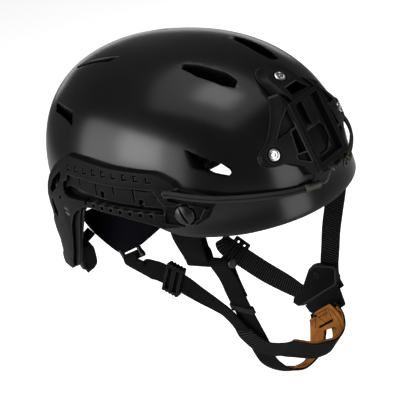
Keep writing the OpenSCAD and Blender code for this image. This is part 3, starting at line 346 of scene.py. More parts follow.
def suede():
    """Tan leather with a napped face, soft folds and darker worn patches."""
    finish, tree, shader = new_finish("tan_suede", roughness=0.82, specular_ior_level=0.15)
    spot = place_on_object(tree)
    patch = node(tree, "TexNoise", {"Vector": spot, "Scale": 70.0, "Detail": 6.0, "Roughness": 0.6})
    nap = node(tree, "TexNoise", {"Vector": spot, "Scale": 900.0, "Detail": 4.0})
    pores = node(tree, "TexVoronoi", {"Vector": spot, "Scale": 1100.0})
    painted(tree, shader, patch.outputs[0], (0.19, 0.058, 0.01), (0.45, 0.165, 0.03), 0.35, 0.68)
    tree.links.new(levels(tree, patch.outputs[0], 0.7, 0.92), shader.inputs["Roughness"])
    wave = bumped(tree, shader, patch.outputs[0], 0.35, 0.0012)
    fine = bumped(tree, shader, nap.outputs[0], 0.5, 0.0003, wave)
    bumped(tree, shader, pores.outputs[0], 0.25, 0.00015, fine)
    return finish


def thread():
    finish, tree, shader = new_finish("dark_thread", roughness=0.9, specular_ior_level=0.05)
    twist = node(tree, "TexWave", {"Vector": place_on_object(tree), "Scale": 900.0},
                 bands_direction="DIAGONAL")
    painted(tree, shader, twist.outputs["Fac"], (0.0042, 0.0027, 0.0021), (0.007, 0.0045, 0.0035))
    bumped(tree, shader, twist.outputs["Fac"], 0.5, 0.0001)
    return finish


# Mesh helpers

def shade_smooth(mesh, sharp):
    """Smooth shading, but for edges that turn by more than that angle."""
    mesh.polygons.foreach_set("use_smooth", [True] * len(mesh.polygons))
    mesh.set_sharp_from_angle(angle=math.radians(sharp))


def as_object(bm, name, finish, sharp=32):
    bmesh.ops.recalc_face_normals(bm, faces=bm.faces)
    mesh = bpy.data.meshes.new(name)
    bm.to_mesh(mesh)
    bm.free()
    shade_smooth(mesh, sharp)
    mesh.materials.append(finish)
    piece = bpy.data.objects.new(name, mesh)
    bpy.context.scene.collection.objects.link(piece)
    return piece


def belongs(piece, place, slot, *nodes):
    """The piece rides on a body and may stand for solids of the frame."""
    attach(piece, place)
    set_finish(piece, slot)
    if nodes:
        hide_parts(*nodes)
    return piece


def move_into(bm, part):
    """Moves all of part into bm."""
    mesh = bpy.data.meshes.new("part")
    part.to_mesh(mesh)
    part.free()
    bm.from_mesh(mesh)
    bpy.data.meshes.remove(mesh)


def weld(bm, near):
    bmesh.ops.remove_doubles(bm, verts=bm.verts, dist=near)


def from_mm(bm):
    bmesh.ops.scale(bm, vec=(MM, MM, MM), verts=bm.verts)


def lookup(x, table):
    """Value at x in a table of rising x, on straight lines between its rows and level outside it."""
    for (x0, y0), (x1, y1) in zip(table, table[1:]):
        if x <= x1:
            return y0 + (y1 - y0) * max(0.0, (x - x0) / (x1 - x0))
    return table[-1][1]


def smooth(points, steps):
    """Smooth line through given points, without overshoot where a short step meets a long one."""
    pts = [Vector(p) for p in points]
    last = len(pts) - 1
    line = []
    for i in range(last):
        p, a, b, c = pts[max(i - 1, 0)], pts[i], pts[i + 1], pts[min(i + 2, last)]
        most = 1.5 * (b - a).length
        leave, arrive = ((v / 2) * min(1.0, most / max((v / 2).length, 1e-9)) for v in (b - p, c - a))
        for k in range(steps):
            u = k / steps
            line.append(a * (2 * u ** 3 - 3 * u * u + 1) + b * (3 * u * u - 2 * u ** 3)
                        + leave * (u ** 3 - 2 * u * u + u) + arrive * (u ** 3 - u * u))
    line.append(pts[last])
    return line


def formed_grid(bm, across, along, place, cloth=None):
    """Adds a grid formed by place(u, v); cloth(u, v) gives the weave's own coordinates."""
    part = bmesh.new()
    bmesh.ops.create_grid(part, x_segments=across, y_segments=along, size=1)
    low = min(v.co.x for v in part.verts)
    high = max(v.co.x for v in part.verts)
    for v in part.verts:
        v.co = ((v.co.x - low) / (high - low), (v.co.y - low) / (high - low), 0)
    if cloth:
        layer = part.loops.layers.uv.new("cloth")
        for face in part.faces:
            for loop in face.loops:
                loop[layer].uv = cloth(loop.vert.co.x, loop.vert.co.y)
    for v in part.verts:
        v.co = place(v.co.x, v.co.y)
    move_into(bm, part)


def rounded(width, thick, radius, flats=4):
    """Outline of a flat band with rounded edges, its flat faces split into that many strips."""
    w, t = width / 2 - radius, thick / 2 - radius
    corners = [(w, t, 0), (-w, t, 90), (-w, -t, 180), (w, -t, 270)]
    outline = []
    for k, (cx, cy, start) in enumerate(corners):
        for a in (0, 30, 60, 90):
            r = math.radians(start + a)
            outline.append((cx + radius * math.cos(r), cy + radius * math.sin(r)))
        if k % 2 == 0:
            sign = 1 if k == 0 else -1
            for i in range(1, flats):
                outline.append((sign * (w - 2 * w * i / flats), sign * thick / 2))
    return outline


def ring(diameter, sides):
    """Outline of a round cord."""
    turns = [2 * math.pi * i / sides for i in range(sides)]
    return [(diameter / 2 * math.cos(a), diameter / 2 * math.sin(a)) for a in turns]


def heading(line, i):
    return (line[min(i + 1, len(line) - 1)] - line[max(i - 1, 0)]).normalized()


def swept(name, line, sides, outline, finish, sharp, shift=0.0):
    """A closed band or cord along a line, in mm; sides point along its width, shift moves it off the line."""
    count = len(line) - 1
    frames, run, gone = [], [], 0.0
    for i, c in enumerate(line):
        t = heading(line, i)
        s = (sides[i] - sides[i].dot(t) * t).normalized()
        frames.append((c, s, t.cross(s)))
        if i:
            gone += (c - line[i - 1]).length
        run.append(gone)
    closed = outline + outline[:1]
    girth = [0.0]
    for a, b in zip(closed, closed[1:]):
        girth.append(girth[-1] + math.dist(a, b))
    n = len(outline)

    def place(u, v):
        c, s, up = frames[round(v * count)]
        x, y = closed[round(u * n)]
        return (c + s * x + up * (y + shift)) * MM

    def cloth(u, v):
        return girth[round(u * n)] * MM, run[round(v * count)] * MM

    bm = bmesh.new()
    formed_grid(bm, n, count, place, cloth)
    weld(bm, WELD)
    bmesh.ops.holes_fill(bm, edges=[e for e in bm.edges if e.is_boundary], sides=0)
    return as_object(bm, name, finish, sharp)


def prism(points, low, high, turn=None, round_by=0.0):
    """A closed prism on an outline, drawn in mm with rounded uprights and then turned by a matrix."""
    bm = bmesh.new()
    face = bm.faces.new([bm.verts.new((x, y, low)) for x, y in points])
    upright = bmesh.ops.extrude_face_region(bm, geom=[face])
    bmesh.ops.translate(bm, verts=[v for v in upright["geom"] if isinstance(v, bmesh.types.BMVert)],
                        vec=(0, 0, high - low))
    if round_by:
        edges = [e for e in bm.edges if abs(e.verts[0].co.z - e.verts[1].co.z) > 0.5 * (high - low)]
        bmesh.ops.bevel(bm, geom=edges, offset=round_by, segments=4, profile=0.5, affect="EDGES",
                        material=-1)
    if turn:
        bmesh.ops.transform(bm, matrix=turn, verts=bm.verts)
    from_mm(bm)
    bmesh.ops.recalc_face_normals(bm, faces=bm.faces)
    return bm


# Turns a prism whose outline is drawn as depth and height, so that it runs along X
SIDEWAYS = Matrix(((0, 0, 1, 0), (1, 0, 0, 0), (0, 1, 0, 0), (0, 0, 0, 1)))


def cut_away(piece, cutters):
    """Takes the cutters out of the piece in one step."""
    bm = bmesh.new()
    for cutter in cutters:
        move_into(bm, cutter)
    tool = as_object(bm, "cutter", piece.data.materials[0])
    step = piece.modifiers.new("cut", "BOOLEAN")
    step.object = tool
    step.solver = "MANIFOLD"
    bpy.context.view_layer.update()
    cut = bpy.data.meshes.new_from_object(piece.evaluated_get(bpy.context.evaluated_depsgraph_get()))
    piece.modifiers.clear()
    piece.data = cut
    bpy.data.objects.remove(tool)


def soften(piece, corner, width, steps=2, sharp=32):
    """Rounds, by a width in mm, the edges that turn by more than the corner's angle."""
    bm = bmesh.new()
    bm.from_mesh(piece.data)
    weld(bm, 2 * WELD)
    edges = [e for e in bm.edges if len(e.link_faces) == 2 and e.calc_face_angle(0) > math.radians(corner)]
    if edges:
        bmesh.ops.bevel(bm, geom=edges, offset=width * MM, segments=steps, profile=0.5, affect="EDGES",
                        clamp_overlap=True, material=-1)
    bm.to_mesh(piece.data)
    bm.free()
    shade_smooth(piece.data, sharp)


def dressed(name, finish, slot, width, steps=2, flat=0.4, sharp=32):
    """A copy of a solid of the frame with softened edges, which stands for it.

    Faces that turn by less than flat degrees are merged first; flat=0 keeps rings and slots open.
    """
    bm = bmesh.new()
    bm.from_mesh(NODES[name].data)
    weld(bm, WELD)
    if flat:
        bmesh.ops.dissolve_limit(bm, angle_limit=math.radians(flat), verts=bm.verts, edges=bm.edges)
    piece = as_object(bm, name + "_moulded", finish, sharp)
    if width:
        soften(piece, 34, width, steps, sharp)
    return belongs(piece, BODY_OF[name], slot, name)


def mirrored(piece, name, node_name):
    """The same piece of the helmet on the wearer's other side."""
    bm = bmesh.new()
    bm.from_mesh(piece.data)
    bmesh.ops.scale(bm, vec=(-1, 1, 1), verts=bm.verts)
    bmesh.ops.reverse_faces(bm, faces=bm.faces)
    other = as_object(bm, name, piece.data.materials[0], 36)
    return belongs(other, "helmet", piece["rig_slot"], node_name)


# Shell, drawn by the same rule as the solid. Sizes are in mm, turns and rises in degrees

# Half width, reach to the front and to the back, height of the wall over the brim and of the dome over it
HALF_W, FRONT, REAR, WALL, DOME = 105, 143, 141, 23, 111
# Powers of its plan, of the dome's section and of its rise, and how far back the crown lies
PLAN_N, DOME_N, RISE_N, CROWN_BACK = 2.15, 2.53, 2.17, 24
# Outward flare of the nape at its full drop, and of the front brim, and the turns where each fades
NAPE_FLARE, NAPE_DROP, NAPE_FADE = 5, 78, (100, 122)
BRIM_FLARE, BRIM_FADE = 2.3, (58, 78)
SHELL_T = 3


def signed_power(v, e):
    return math.copysign(abs(v) ** e, v)


def from_front(turn):
    """The same turn on the wearer's left, from 0 at the front to 180 at the back."""
    return turn if turn <= 180 else 360 - turn


def eased(v, a, b):
    """From 0 at a to 1 at b, level at both ends."""
    u = min(1.0, max(0.0, (v - a) / (b - a)))
    return u * u * (3 - 2 * u)


def on_shell(turn, rise, over):
    """Place at a turn, a rise up the dome in degrees or a drop down the wall in mm (minus), moved out."""
    half = from_front(turn)
    up = math.radians(max(rise, 0))
    flare = over + NAPE_FLARE * max(-rise, 0) / NAPE_DROP * eased(half, *NAPE_FADE) \
        + BRIM_FLARE * eased(-rise, 0, WALL) * (1 - eased(half, *BRIM_FADE))
    h = max(math.cos(up), 0) ** (2 / DOME_N)
    a = math.radians(turn)
    reach = (FRONT if math.cos(a) > 0 else REAR) + flare
    return Vector((
        (HALF_W + flare) * signed_power(math.sin(a), 2 / PLAN_N) * h,
        -reach * signed_power(math.cos(a), 2 / PLAN_N) * h + CROWN_BACK * (1 - h),
        WALL + rise if rise < 0 else WALL + (DOME + over) * math.sin(up) ** (2 / RISE_N)))


def rise_at(z):
    """Rise or drop whose place is at that height."""
    return z - WALL if z < WALL else math.degrees(math.asin(((z - WALL) / DOME) ** (RISE_N / 2)))


# Height of the shell's edge over the front brim, by turn from the front
RIM = [(0, 0), (20, 1), (32, 1.9), (42, 2.6), (50, 4), (60, 6.2), (65, 8), (70, 11.5), (75, 17.5), (80, 22),
       (86, 25), (95, 29), (102, 27), (104.5, 23), (107.3, 15), (110.5, 2), (114.5, -12), (118, -24),
       (122, -35), (126, -41.5), (132, -40.5), (141, -36), (152, -29), (165, -25), (180, -24)]


def rim_height(turn):
    """Height of the edge, averaged over a short way round so that the table's corners are eased."""
    half = from_front(turn)
    return sum(lookup(abs(half + d) if half + d <= 180 else 360 - half - d, RIM) for d in (-1.2, 0, 1.2)) / 3


def shell_turns():
    """Turns of the shell's columns: every 2 degrees, but every degree round the back of the ear cut."""
    half = [*range(0, 98, 2), *range(98, 130), *range(130, 181, 2)]
    return half + [360 - a for a in reversed(half[1:-1])] + [360]


# Vents of the wearer's right side, drawn as X and Y from above, and the front side vent as Y and Z
CROWN_FRONT_VENT = [(-30, -47), (-24.5, -60), (-20.5, -82), (-21.5, -93), (-29, -95), (-33.8, -86),
                    (-37, -66), (-35, -50)]
CROWN_REAR_VENT = [(-30.5, 20), (-32.5, 72), (-35, 73), (-38.5, 66), (-38, 26)]
REAR_SIDE_VENT = [(-63, 77), (-77, 43), (-85, 40), (-70, 74)]
FRONT_SIDE_VENT = [(-76, 76), (-106, 58), (-107.5, 54), (-104.5, 50), (-82, 61)]
# Height of the cutters from above, and from where to where the side ones reach
CUT_TALL, CUT_NEAR, CUT_FAR = 60, 40, 110


def vent_cutters():
    cutters = []
    for side in (1, -1):
        for outline, low in ((CROWN_FRONT_VENT, 82), (CROWN_REAR_VENT, 82), (REAR_SIDE_VENT, 60)):
            cutters.append(prism([(side * x, y) for x, y in outline], low, low + CUT_TALL, round_by=1.0))
        low, high = (-CUT_FAR, -CUT_NEAR) if side == 1 else (CUT_NEAR, CUT_FAR)
        cutters.append(prism(FRONT_SIDE_VENT, low, high, SIDEWAYS, round_by=1.2))
    return cutters


def make_shell(finish):
    """Outer and inner skin and the edge between them, with the vents cut through."""
    turns = shell_turns()
    wall_rows, dome_rows, edge_rise = 9, 34, 10
    rows = wall_rows + dome_rows
    edge = {t: rise_at(rim_height(t)) for t in turns}

    def skin(over):
        def place(u, v):
            turn = turns[round(u * (len(turns) - 1))]
            row = round(v * rows)
            start = edge[turn]
            rise = start + (edge_rise - start) * row / wall_rows if row <= wall_rows else \
                edge_rise + (90 - edge_rise) * (row - wall_rows) / dome_rows
            return on_shell(turn % 360, rise, over) * MM
        return place

    def rim(u, v):
        turn = turns[round(u * (len(turns) - 1))]
        return on_shell(turn % 360, edge[turn], -SHELL_T * v) * MM

    bm = bmesh.new()
    formed_grid(bm, len(turns) - 1, rows, skin(0))
    formed_grid(bm, len(turns) - 1, rows, skin(-SHELL_T))
    formed_grid(bm, len(turns) - 1, 1, rim)
    weld(bm, GRID_WELD)
    shell = as_object(bm, "shell_skin", finish, 40)
    cut_away(shell, vent_cutters())
    soften(shell, 42, 1.0, 3, 44)
    return belongs(shell, "helmet", "shell", "shell")


# Pads

# Depths under the shell's inside: gap, liner, gap to the pads; gap to the carrier, its legs
LINER_GAP, LINER_T, PAD_GAP = 0.7, 15, 0.8
CARRIER_GAP, LEG_T = 0.6, 2.1
PAD_BACK = -SHELL_T - LINER_GAP - LINER_T - PAD_GAP
LEG_BACK = -SHELL_T - CARRIER_GAP - LEG_T
# Half depth of a pad's seam, and how far the face of a pad and of a leg pad stands off it
SEAM, PAD_T, LEG_PAD_T = 0.6, 8.2, 12
# Width, back face, foot, height and depth of the nape pad
NAPE_W, NAPE_Y, NAPE_LOW, NAPE_H, NAPE_T = 44, 117.7, -62, 56, 8.6


def fullness(share):
    """How full a pad is, from 0 at its seam to 1 in its middle."""
    return max(0.0, share) ** 0.55


def sewn_round(u, v):
    return fullness((1 - abs(2 * u - 1) ** 5) * (1 - abs(2 * v - 1) ** 5))


def sewn_below(_, v):
    return fullness(1 - (1 - v) ** 5)


def pillow(name, finish, body, place, depth, across=24, along=14, full=sewn_round):
    """A sewn pad, which stands for the solid of that name; place(u, v, inward) is a place in it."""
    bm = bmesh.new()
    formed_grid(bm, across, along, lambda u, v: place(u, v, SEAM * (1 - full(u, v))) * MM)
    formed_grid(bm, across, along, lambda u, v: place(u, v, SEAM + depth * full(u, v)) * MM)
    weld(bm, GRID_WELD)
    pad = as_object(bm, name + "_cloth", finish, 80)
    belongs(pad, body, "pad_cloth", name)


def shell_pad(name, finish, turns, rises, over, depth, body="helmet"):
    """A pad inside the shell, between two turns and two rises."""
    pull = 0.05

    def place(u, v, inward):
        # Pulled in between the corners, as a sewn cushion is
        pull_u = 0.5 + (u - 0.5) * (1 - pull * (1 - (2 * v - 1) ** 2))
        pull_v = 0.5 + (v - 0.5) * (1 - pull * (1 - (2 * u - 1) ** 2))
        turn = turns[0] + (turns[1] - turns[0]) * pull_u
        rise = rises[0] + (rises[1] - rises[0]) * pull_v
        return on_shell(turn % 360, rise, over - inward)
    pillow(name, finish, body, place, depth)


def make_pads(finish):
    for name, turns, rises in (("front_pad", (-34, 34), (0, 24)), ("rear_pad", (150, 210), (0, 30)),
                               ("side_pad_right", (256, 298), (16, 44)),
                               ("side_pad_left", (62, 104), (16, 44))):
        shell_pad(name, finish, turns, rises, PAD_BACK, PAD_T)
    for name, turns in (("leg_pad_right", (228, 238.5)), ("leg_pad_left", (121.5, 132))):
        shell_pad(name, finish, turns, (-74, -48), LEG_BACK, LEG_PAD_T, "nape")

    def crown(u, v, inward):
        return on_shell(360 * u % 360, 64 + 26 * v, PAD_BACK - inward)
    pillow("crown_pad", finish, "helmet", crown, PAD_T, 48, 12, sewn_below)

    def nape(u, v, inward):
        return Vector((NAPE_W * (u - 0.5), NAPE_Y - inward, NAPE_LOW + NAPE_H * v))
    pillow("nape_pad", finish, "nape", nape, NAPE_T, 24, 24)


# Straps, on the same runs as the solids of the frame

WEB_W, WEB_T, EYE_W = 20, 1.6, 19
HANGER_W, HANGER_T, LINK_W, LINK_T = 25, 1.7, 9, 1.4
LINING_W, LINING_T, LINING_GAP = 20.4, 2.2, 0.3
# Place and slope of the front bar, whose line goes through the rear eye, and the slant of the rear loop
BAR_X, BAR_SLOPE, FRONT_Y, HANGER_Y = 83, 0.085, -84, -61.1
HANG = Vector((0, 1, -BAR_SLOPE))
SLANT = Vector((0, -0.923, 0.385))
REAR_EYE = Vector((-BAR_X, 16, -30))
# Radius of the webbing's middle round the bar, round the rear loop, and of the hanger's round the bar
FRONT_EYE_R, REAR_EYE_R, HANGER_R = 3.35, 4.8, 3.1


def on_bar(y):
    return Vector((-BAR_X, y, REAR_EYE.z + (REAR_EYE.y - y) * BAR_SLOPE))


def round_bar(centre, axis, start, radius, first, last, steps):
    """Points round a bar, from one angle to another, with the angle 0 towards start."""
    out = (start - start.dot(axis) * axis).normalized()
    side = axis.cross(out)
    angles = [math.radians(first + (last - first) * i / steps) for i in range(steps + 1)]
    return [centre + radius * (out * math.cos(a) + side * math.sin(a)) for a in angles]


# Runs of the straps below their eyes, and the direction of their width at each point
FRONT_RIGHT = [(-80.5, -84.7, -38.5), (-76, -83.2, -55.4), (-71, -81.3, -71.1), (-65, -79.3, -88.5),
               (-58.5, -76.7, -105.6), (-52, -72.6, -120)]
REAR_RIGHT = [(-82.7, 8.2, -39.2), (-82.1, -1.5, -40.1), (-81.3, -10.5, -42.2), (-80.2, -21, -47.4),
              (-79.1, -31.5, -52.6), (-77.4, -43.2, -60.8), (-75.4, -54.8, -68.6), (-72.8, -63.9, -77.2),
              (-68.6, -68.2, -89.7), (-66.6, -71.4, -98)]
REAR_RIGHT_WIDE = [(0, 0.85, -0.5), (-0.1, 0.75, -0.65), (-0.18, 0.66, -0.73), (-0.18, 0.66, -0.73),
                   (-0.15, 0.66, -0.73), (0, 0.68, -0.73), (0.15, 0.69, -0.7), (0.25, 0.7, -0.66),
                   (0.2, 0.9, -0.35), (0.1, 0.95, -0.3)]
FRONT_LEFT = [(81.5, -81, -38), (78, -75.5, -57), (74.5, -70, -77), (71.5, -66.5, -95), (68.6, -64, -109),
              (67.2, -63, -119)]
REAR_LEFT = [(81.4, 16.5, -54), (78.6, 31, -71), (74.8, 50, -85), (71, 60.5, -96), (68, 60, -106),
             (67, 49.5, -112.3), (66.7, 38, -118.1), (66.5, 15, -130), (66.9, -8, -140), (67.4, -20, -146),
             (67.4, -31.5, -151.7)]
REAR_LEFT_WIDE = [(0.1, 0.95, 0.1), (0.3, 0.8, 0.4), (0.5, 0.65, 0.5), (0.7, 0.3, 0.5), (0.75, -0.25, 0.6),
                  (0.72, -0.31, 0.62), (0.7, -0.32, 0.64), (0.6, -0.35, 0.7), (0.3, -0.4, 0.85),
                  (0.05, -0.4, 0.9), (0, -0.4, 0.9)]
CUP_UPPER = [(-66.8, -70.9, -96.4), (-65.8, -73.5, -102.9), (-59.4, -80.2, -116), (-46.2, -83.6, -126.3),
             (-30.5, -80, -136.7), (-14, -76, -149.4), (2, -77, -160.7), (14, -79, -166.3), (29, -81, -170),
             (45, -77, -168), (56, -69, -161), (60.4, -60, -152.5)]
CUP_UPPER_WIDE = [(0.1, 0.95, -0.3), (0.05, 0.9, -0.45), (0, 0.8, -0.6), (0, 0.7, -0.7), (0, 0.67, -0.74),
                  (0, 0.62, -0.79), (0, 0.57, -0.82), (0, 0.5, -0.87), (0, 0.62, -0.79), (0, 0.7, -0.71),
                  (0, 0.8, -0.6), (0, 0.85, -0.5)]
CUP_LOWER = [(-51.1, -71.5, -121.8), (-43.2, -63.5, -136), (-33, -59.5, -154), (-17, -56.7, -172),
             (5, -54, -186.5), (21, -57, -187), (37, -55, -180), (52, -48.4, -169.4), (60.3, -42.2, -160.2)]
CUP_LOWER_WIDE = [(0, 1, 0), (0, 0.97, -0.2), (0, 0.95, -0.3), (0, 0.97, -0.2), (0, 0.94, -0.34),
                  (0, 0.84, -0.54), (0, 0.86, -0.5), (0, 0.9, -0.4), (0, 0.85, -0.5)]
# Ends of the two linings, a little short of the bands' own
UPPER_LINING_END, LOWER_LINING_END = (58.6, -63.8, -156), (57, -44.7, -163.8)


def strap(name, points, wides, body, finish, width=WEB_W, thick=WEB_T):
    """A band of webbing along smoothed points, which stands for the solid of that name."""
    outline = rounded(width, thick, min(0.6, thick * 0.4))
    piece = swept(name + "_web", smooth(points, 6), smooth(wides, 6), outline, finish, 50)
    return belongs(piece, body, "webbing", name)


def eye(centre, axis, radius, run):
    """A strap's turned-back end: up the inside, over the bar and down its outside into the run."""
    tail_depth = 1.9
    turn = 1 if centre.x < 0 else -1
    out = Vector((-turn, 0, 0))
    loop = round_bar(centre, axis * turn, out, radius, first=200, last=-22, steps=9)
    down = [Vector(p) for p in run]
    tail = [p - out * tail_depth for p in reversed(down[:2])]
    return tail + loop + down


def make_straps(fine, ribbed):
    """Front and rear straps; a rear one leaves its loop at an angle counted from the outermost point."""
    along_bar = HANG.normalized()
    for side, hand, run, finish in ((1, "right", FRONT_RIGHT, fine), (-1, "left", FRONT_LEFT, ribbed)):
        centre = on_bar(FRONT_Y)
        centre.x *= side
        path = eye(centre, along_bar, FRONT_EYE_R, run)
        strap("front_strap_" + hand, path, [HANG] * len(path), hand + "_chin", finish)
    along_slant = -SLANT.normalized()
    for side, hand, run, wide, finish, leaves in ((1, "right", REAR_RIGHT, REAR_RIGHT_WIDE, fine, -35),
                                                  (-1, "left", REAR_LEFT, REAR_LEFT_WIDE, ribbed, -15)):
        centre = Vector((REAR_EYE.x * side, REAR_EYE.y, REAR_EYE.z))
        loop = round_bar(centre, along_slant * side, Vector((-side, 0, 0)), REAR_EYE_R,
                         first=200, last=leaves, steps=10)
        path = loop + [Vector(p) for p in run]
        wides = [-SLANT] * len(loop) + [Vector(w) for w in wide]
        strap("rear_strap_" + hand, path, wides, hand + "_chin", finish, EYE_W)


def make_hangers(finish):
    """Hangers folded round the bars, and the short links behind the rear loops."""
    centre = on_bar(HANGER_Y)
    shell_side = Vector((-0.31, 0.95, 0))
    run = [(-91.5, -62.5, 14.5), (-91.4, -62.5, 5), (-89.8, -61.8, -7), (-87.2, -61.2, -17.5)]
    loop = round_bar(centre, HANG.normalized(), Vector((-1, 0, 0)), HANGER_R, first=20, last=-175, steps=9)
    tail = [(-80.2, -61.2, -14.5), (-82.5, -61.6, -8), (-85.5, -61.9, 2)]
    wides = [shell_side, shell_side, Vector((-0.12, 1, -0.04))] + [HANG] * (len(loop) + 3) + [shell_side]
    right = strap("strap_hanger_right", run + loop + tail, wides, "helmet", finish, HANGER_W, HANGER_T)
    mirrored(right, "strap_hanger_left_web", "strap_hanger_left")
    link = strap("link_strap_right", [(-82, 62.6, -10), (-86, 63.5, -11.7), (-92.4, 65, -14)],
                 [(0, 0.45, 0.9)] * 3, "helmet", finish, LINK_W, LINK_T)
    mirrored(link, "link_strap_left_web", "link_strap_left")


def make_chin_cup(ribbed, fine, leather):
    """The two bands, and a soft lining along the wearer's side of each."""
    strap("chin_cup_upper", CUP_UPPER, CUP_UPPER_WIDE, "right_chin", ribbed)
    strap("chin_cup_lower", CUP_LOWER, CUP_LOWER_WIDE, "right_chin", fine)
    stand = (WEB_T + 2) / 2 + LINING_GAP
    for name, points, wides in (("upper", CUP_UPPER[4:-1] + [UPPER_LINING_END], CUP_UPPER_WIDE[4:]),
                                ("lower", CUP_LOWER[3:-1] + [LOWER_LINING_END], CUP_LOWER_WIDE[3:])):
        outline = rounded(LINING_W, LINING_T, radius=0.9, flats=6)
        piece = swept("chin_lining_" + name, smooth(points, 8), smooth(wides, 8), outline, leather, 60, stand)
        belongs(piece, "right_chin", "tan_leather", "chin_cup_lining")


# Leather tab over the upper ends of the linings, drawn flat on its own plane

TAB_AT = Matrix(((-0.015, -0.597, 0.802, 57.3), (-0.933, -0.28, -0.226, -41.09),
                 (0.359, -0.752, -0.552, -158.22), (0, 0, 0, 1)))
TAB = [(1.5, 2.7), (12, 0), (23.6, -2.4), (29.4, 2.6), (35, 8.1), (38.6, 13.3), (40.5, 18.1), (40.1, 23.5),
       (27.4, 19.8), (18.6, 20.8), (9, 20.8), (-0.2, 18.5)]
TAB_T = 1.6
# Rows of stitches that run along the row, and rows of close ones that lie across it
TAB_SEAMS = [[(22.1, 0.9), (29.1, 7.2), (34.6, 13.6), (37.1, 19.4), (36.9, 22.1)], [(4.1, 8.8), (3.2, 17.1)],
             [(6.1, 4.4), (21.4, 1.3)], [(7.9, 8.2), (20.4, 5.3)], [(6.6, 6.8), (18.4, 14.7)],
             [(22, 2.3), (25.4, 11.7)]]
TAB_TACKS = [[(8.6, 17.3), (27.2, 13.3)], [(2.2, 5.7), (5.6, 6.2)]]


def stitches(bm, rows, height, length, pitch, thick, across=False):
    """Short stitches, pitch apart in mm, on rows drawn flat; each lies along its row or across it."""
    for row in rows:
        for a, b in zip(row, row[1:]):
            run = Vector(b) - Vector(a)
            count = max(1, round(run.length / pitch))
            turn = math.atan2(run.y, run.x) + (math.pi / 2 if across else 0)
            for k in range(count):
                x, y = Vector(a) + run * ((k + 0.5) / count)
                one = bmesh.ops.create_uvsphere(bm, u_segments=8, v_segments=6, radius=0.5)
                place = Matrix.Translation((x, y, height)) @ Matrix.Rotation(turn, 4, "Z") \
                    @ Matrix.Diagonal((length, thick, thick, 1))
                bmesh.ops.transform(bm, matrix=place, verts=one["verts"])


def make_tab(leather, dark_thread):
    tab = as_object(prism(TAB, -TAB_T, 0, TAB_AT, round_by=1.1), "leather_tab", leather)
    soften(tab, 50, 0.45, 3)
    belongs(tab, "right_chin", "tan_leather", "chin_cup_lining")
    bm = bmesh.new()
    stitches(bm, TAB_SEAMS, -TAB_T, length=2, pitch=2.3, thick=0.8)
    stitches(bm, TAB_TACKS, -TAB_T - 0.1, length=2.6, pitch=0.6, thick=0.75, across=True)
    bmesh.ops.transform(bm, matrix=TAB_AT, verts=bm.verts)
    from_mm(bm)
    belongs(as_object(bm, "tab_stitching", dark_thread, 80), "right_chin", "tan_leather")


# Raised edge of the buckle's plate, on its face towards the wearer, as Y and Z

PLATE_X, PLATE_EDGE_D = 62, 1.4
PLATE_EDGE = [(-44.5, -117.2), (-49, -112.9), (-54.6, -111.1), (-71.5, -110.2), (-73.7, -112.2),
              (-72, -119.5), (-69.8, -127.8), (-60, -134.3), (-46, -143.5), (-34, -151.4), (-26.5, -156.3)]


def make_plate_edge(finish):
    line = smooth([(PLATE_X, y, z) for y, z in PLATE_EDGE], 4)
    sides = [Vector((-1, 0, 0))] * len(line)
    bead = swept("buckle_plate_edge", line, sides, ring(PLATE_EDGE_D, 12), finish, 60)
    belongs(bead, "left_chin", "fitting_plastic")


# Shock cords

# Line between the two strands of the near cord, from its ferrule to its turn round the rail's hook
CORD_RUN = [(-31.5, -141.3, 23.2), (-42.5, -136.8, 25.2), (-54, -130.8, 28.2), (-63, -123.8, 30.6),
            (-71, -115.8, 32.7), (-78, -107, 34.7), (-85.9, -98.6, 37.6), (-92.3, -88.7, 40.8),
            (-97.4, -77.9, 44), (-100.8, -69, 46.6)]
CORD_TURN = Vector((-103.6, -63.6, 47.4))
CORD_D, STRAND_UP = 2.8, Vector((0, 0, 1.5))
CORD_OUT = Vector((-0.7, -0.7, 0.1))


def make_shock_cords(finish):
    """Each cord runs back to the rail's hook over its line and forward again under it."""
    back = [Vector(p) + STRAND_UP * (1 if p[0] < -40 else 0.9) for p in CORD_RUN]
    fore = [Vector(p) - STRAND_UP for p in reversed(CORD_RUN)]
    points = back + [CORD_TURN + Vector((0.6, 0, 1.4)), CORD_TURN + Vector((0.6, 0, -1.4))] + fore
    line = smooth(points, 4)
    sides = [heading(line, i).cross(CORD_OUT).normalized() for i in range(len(line))]
    right = swept("shock_cord_right_braid", line, sides, ring(CORD_D, 12), finish, 60)
    belongs(right, "helmet", "elastic_cord", "shock_cord_right")
    left = mirrored(right, "shock_cord_left_braid", "shock_cord_left")
    for cord, sign in ((right, 1), (left, -1)):
        path = [(sign * p.x * MM, p.y * MM, p.z * MM) for p in line]
        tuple(path[0])


# Retention wings: their lower and upper edge by Y, and how far out they stand

WING_LOW = [(-46, 26), (-38, 12), (-26, 2.7), (0, -14.4), (29, -27.8), (36, -26.5), (49, -20), (58, -14),
            (64, -9.5), (69.5, -4), (71, 1)]
WING_HIGH = [(-46, 31), (34, 32), (44, 16), (60, 10), (67, 7.5), (71, 3)]
WING_X = [(-46, 81), (-32, 84), (-20, 85.6), (0, 86.2), (16, 85.7), (30, 84.3), (71, 80.6)]
WING_T = 2


def soft_lookup(y, table, reach):
    """Value at y with the table's corners eased over a reach each side, less near its ends."""
    near = min(reach, y - table[0][0], table[-1][0] - y)
    return sum(lookup(y + d * near, table) for d in (-1, -0.5, 0, 0.5, 1)) / 5


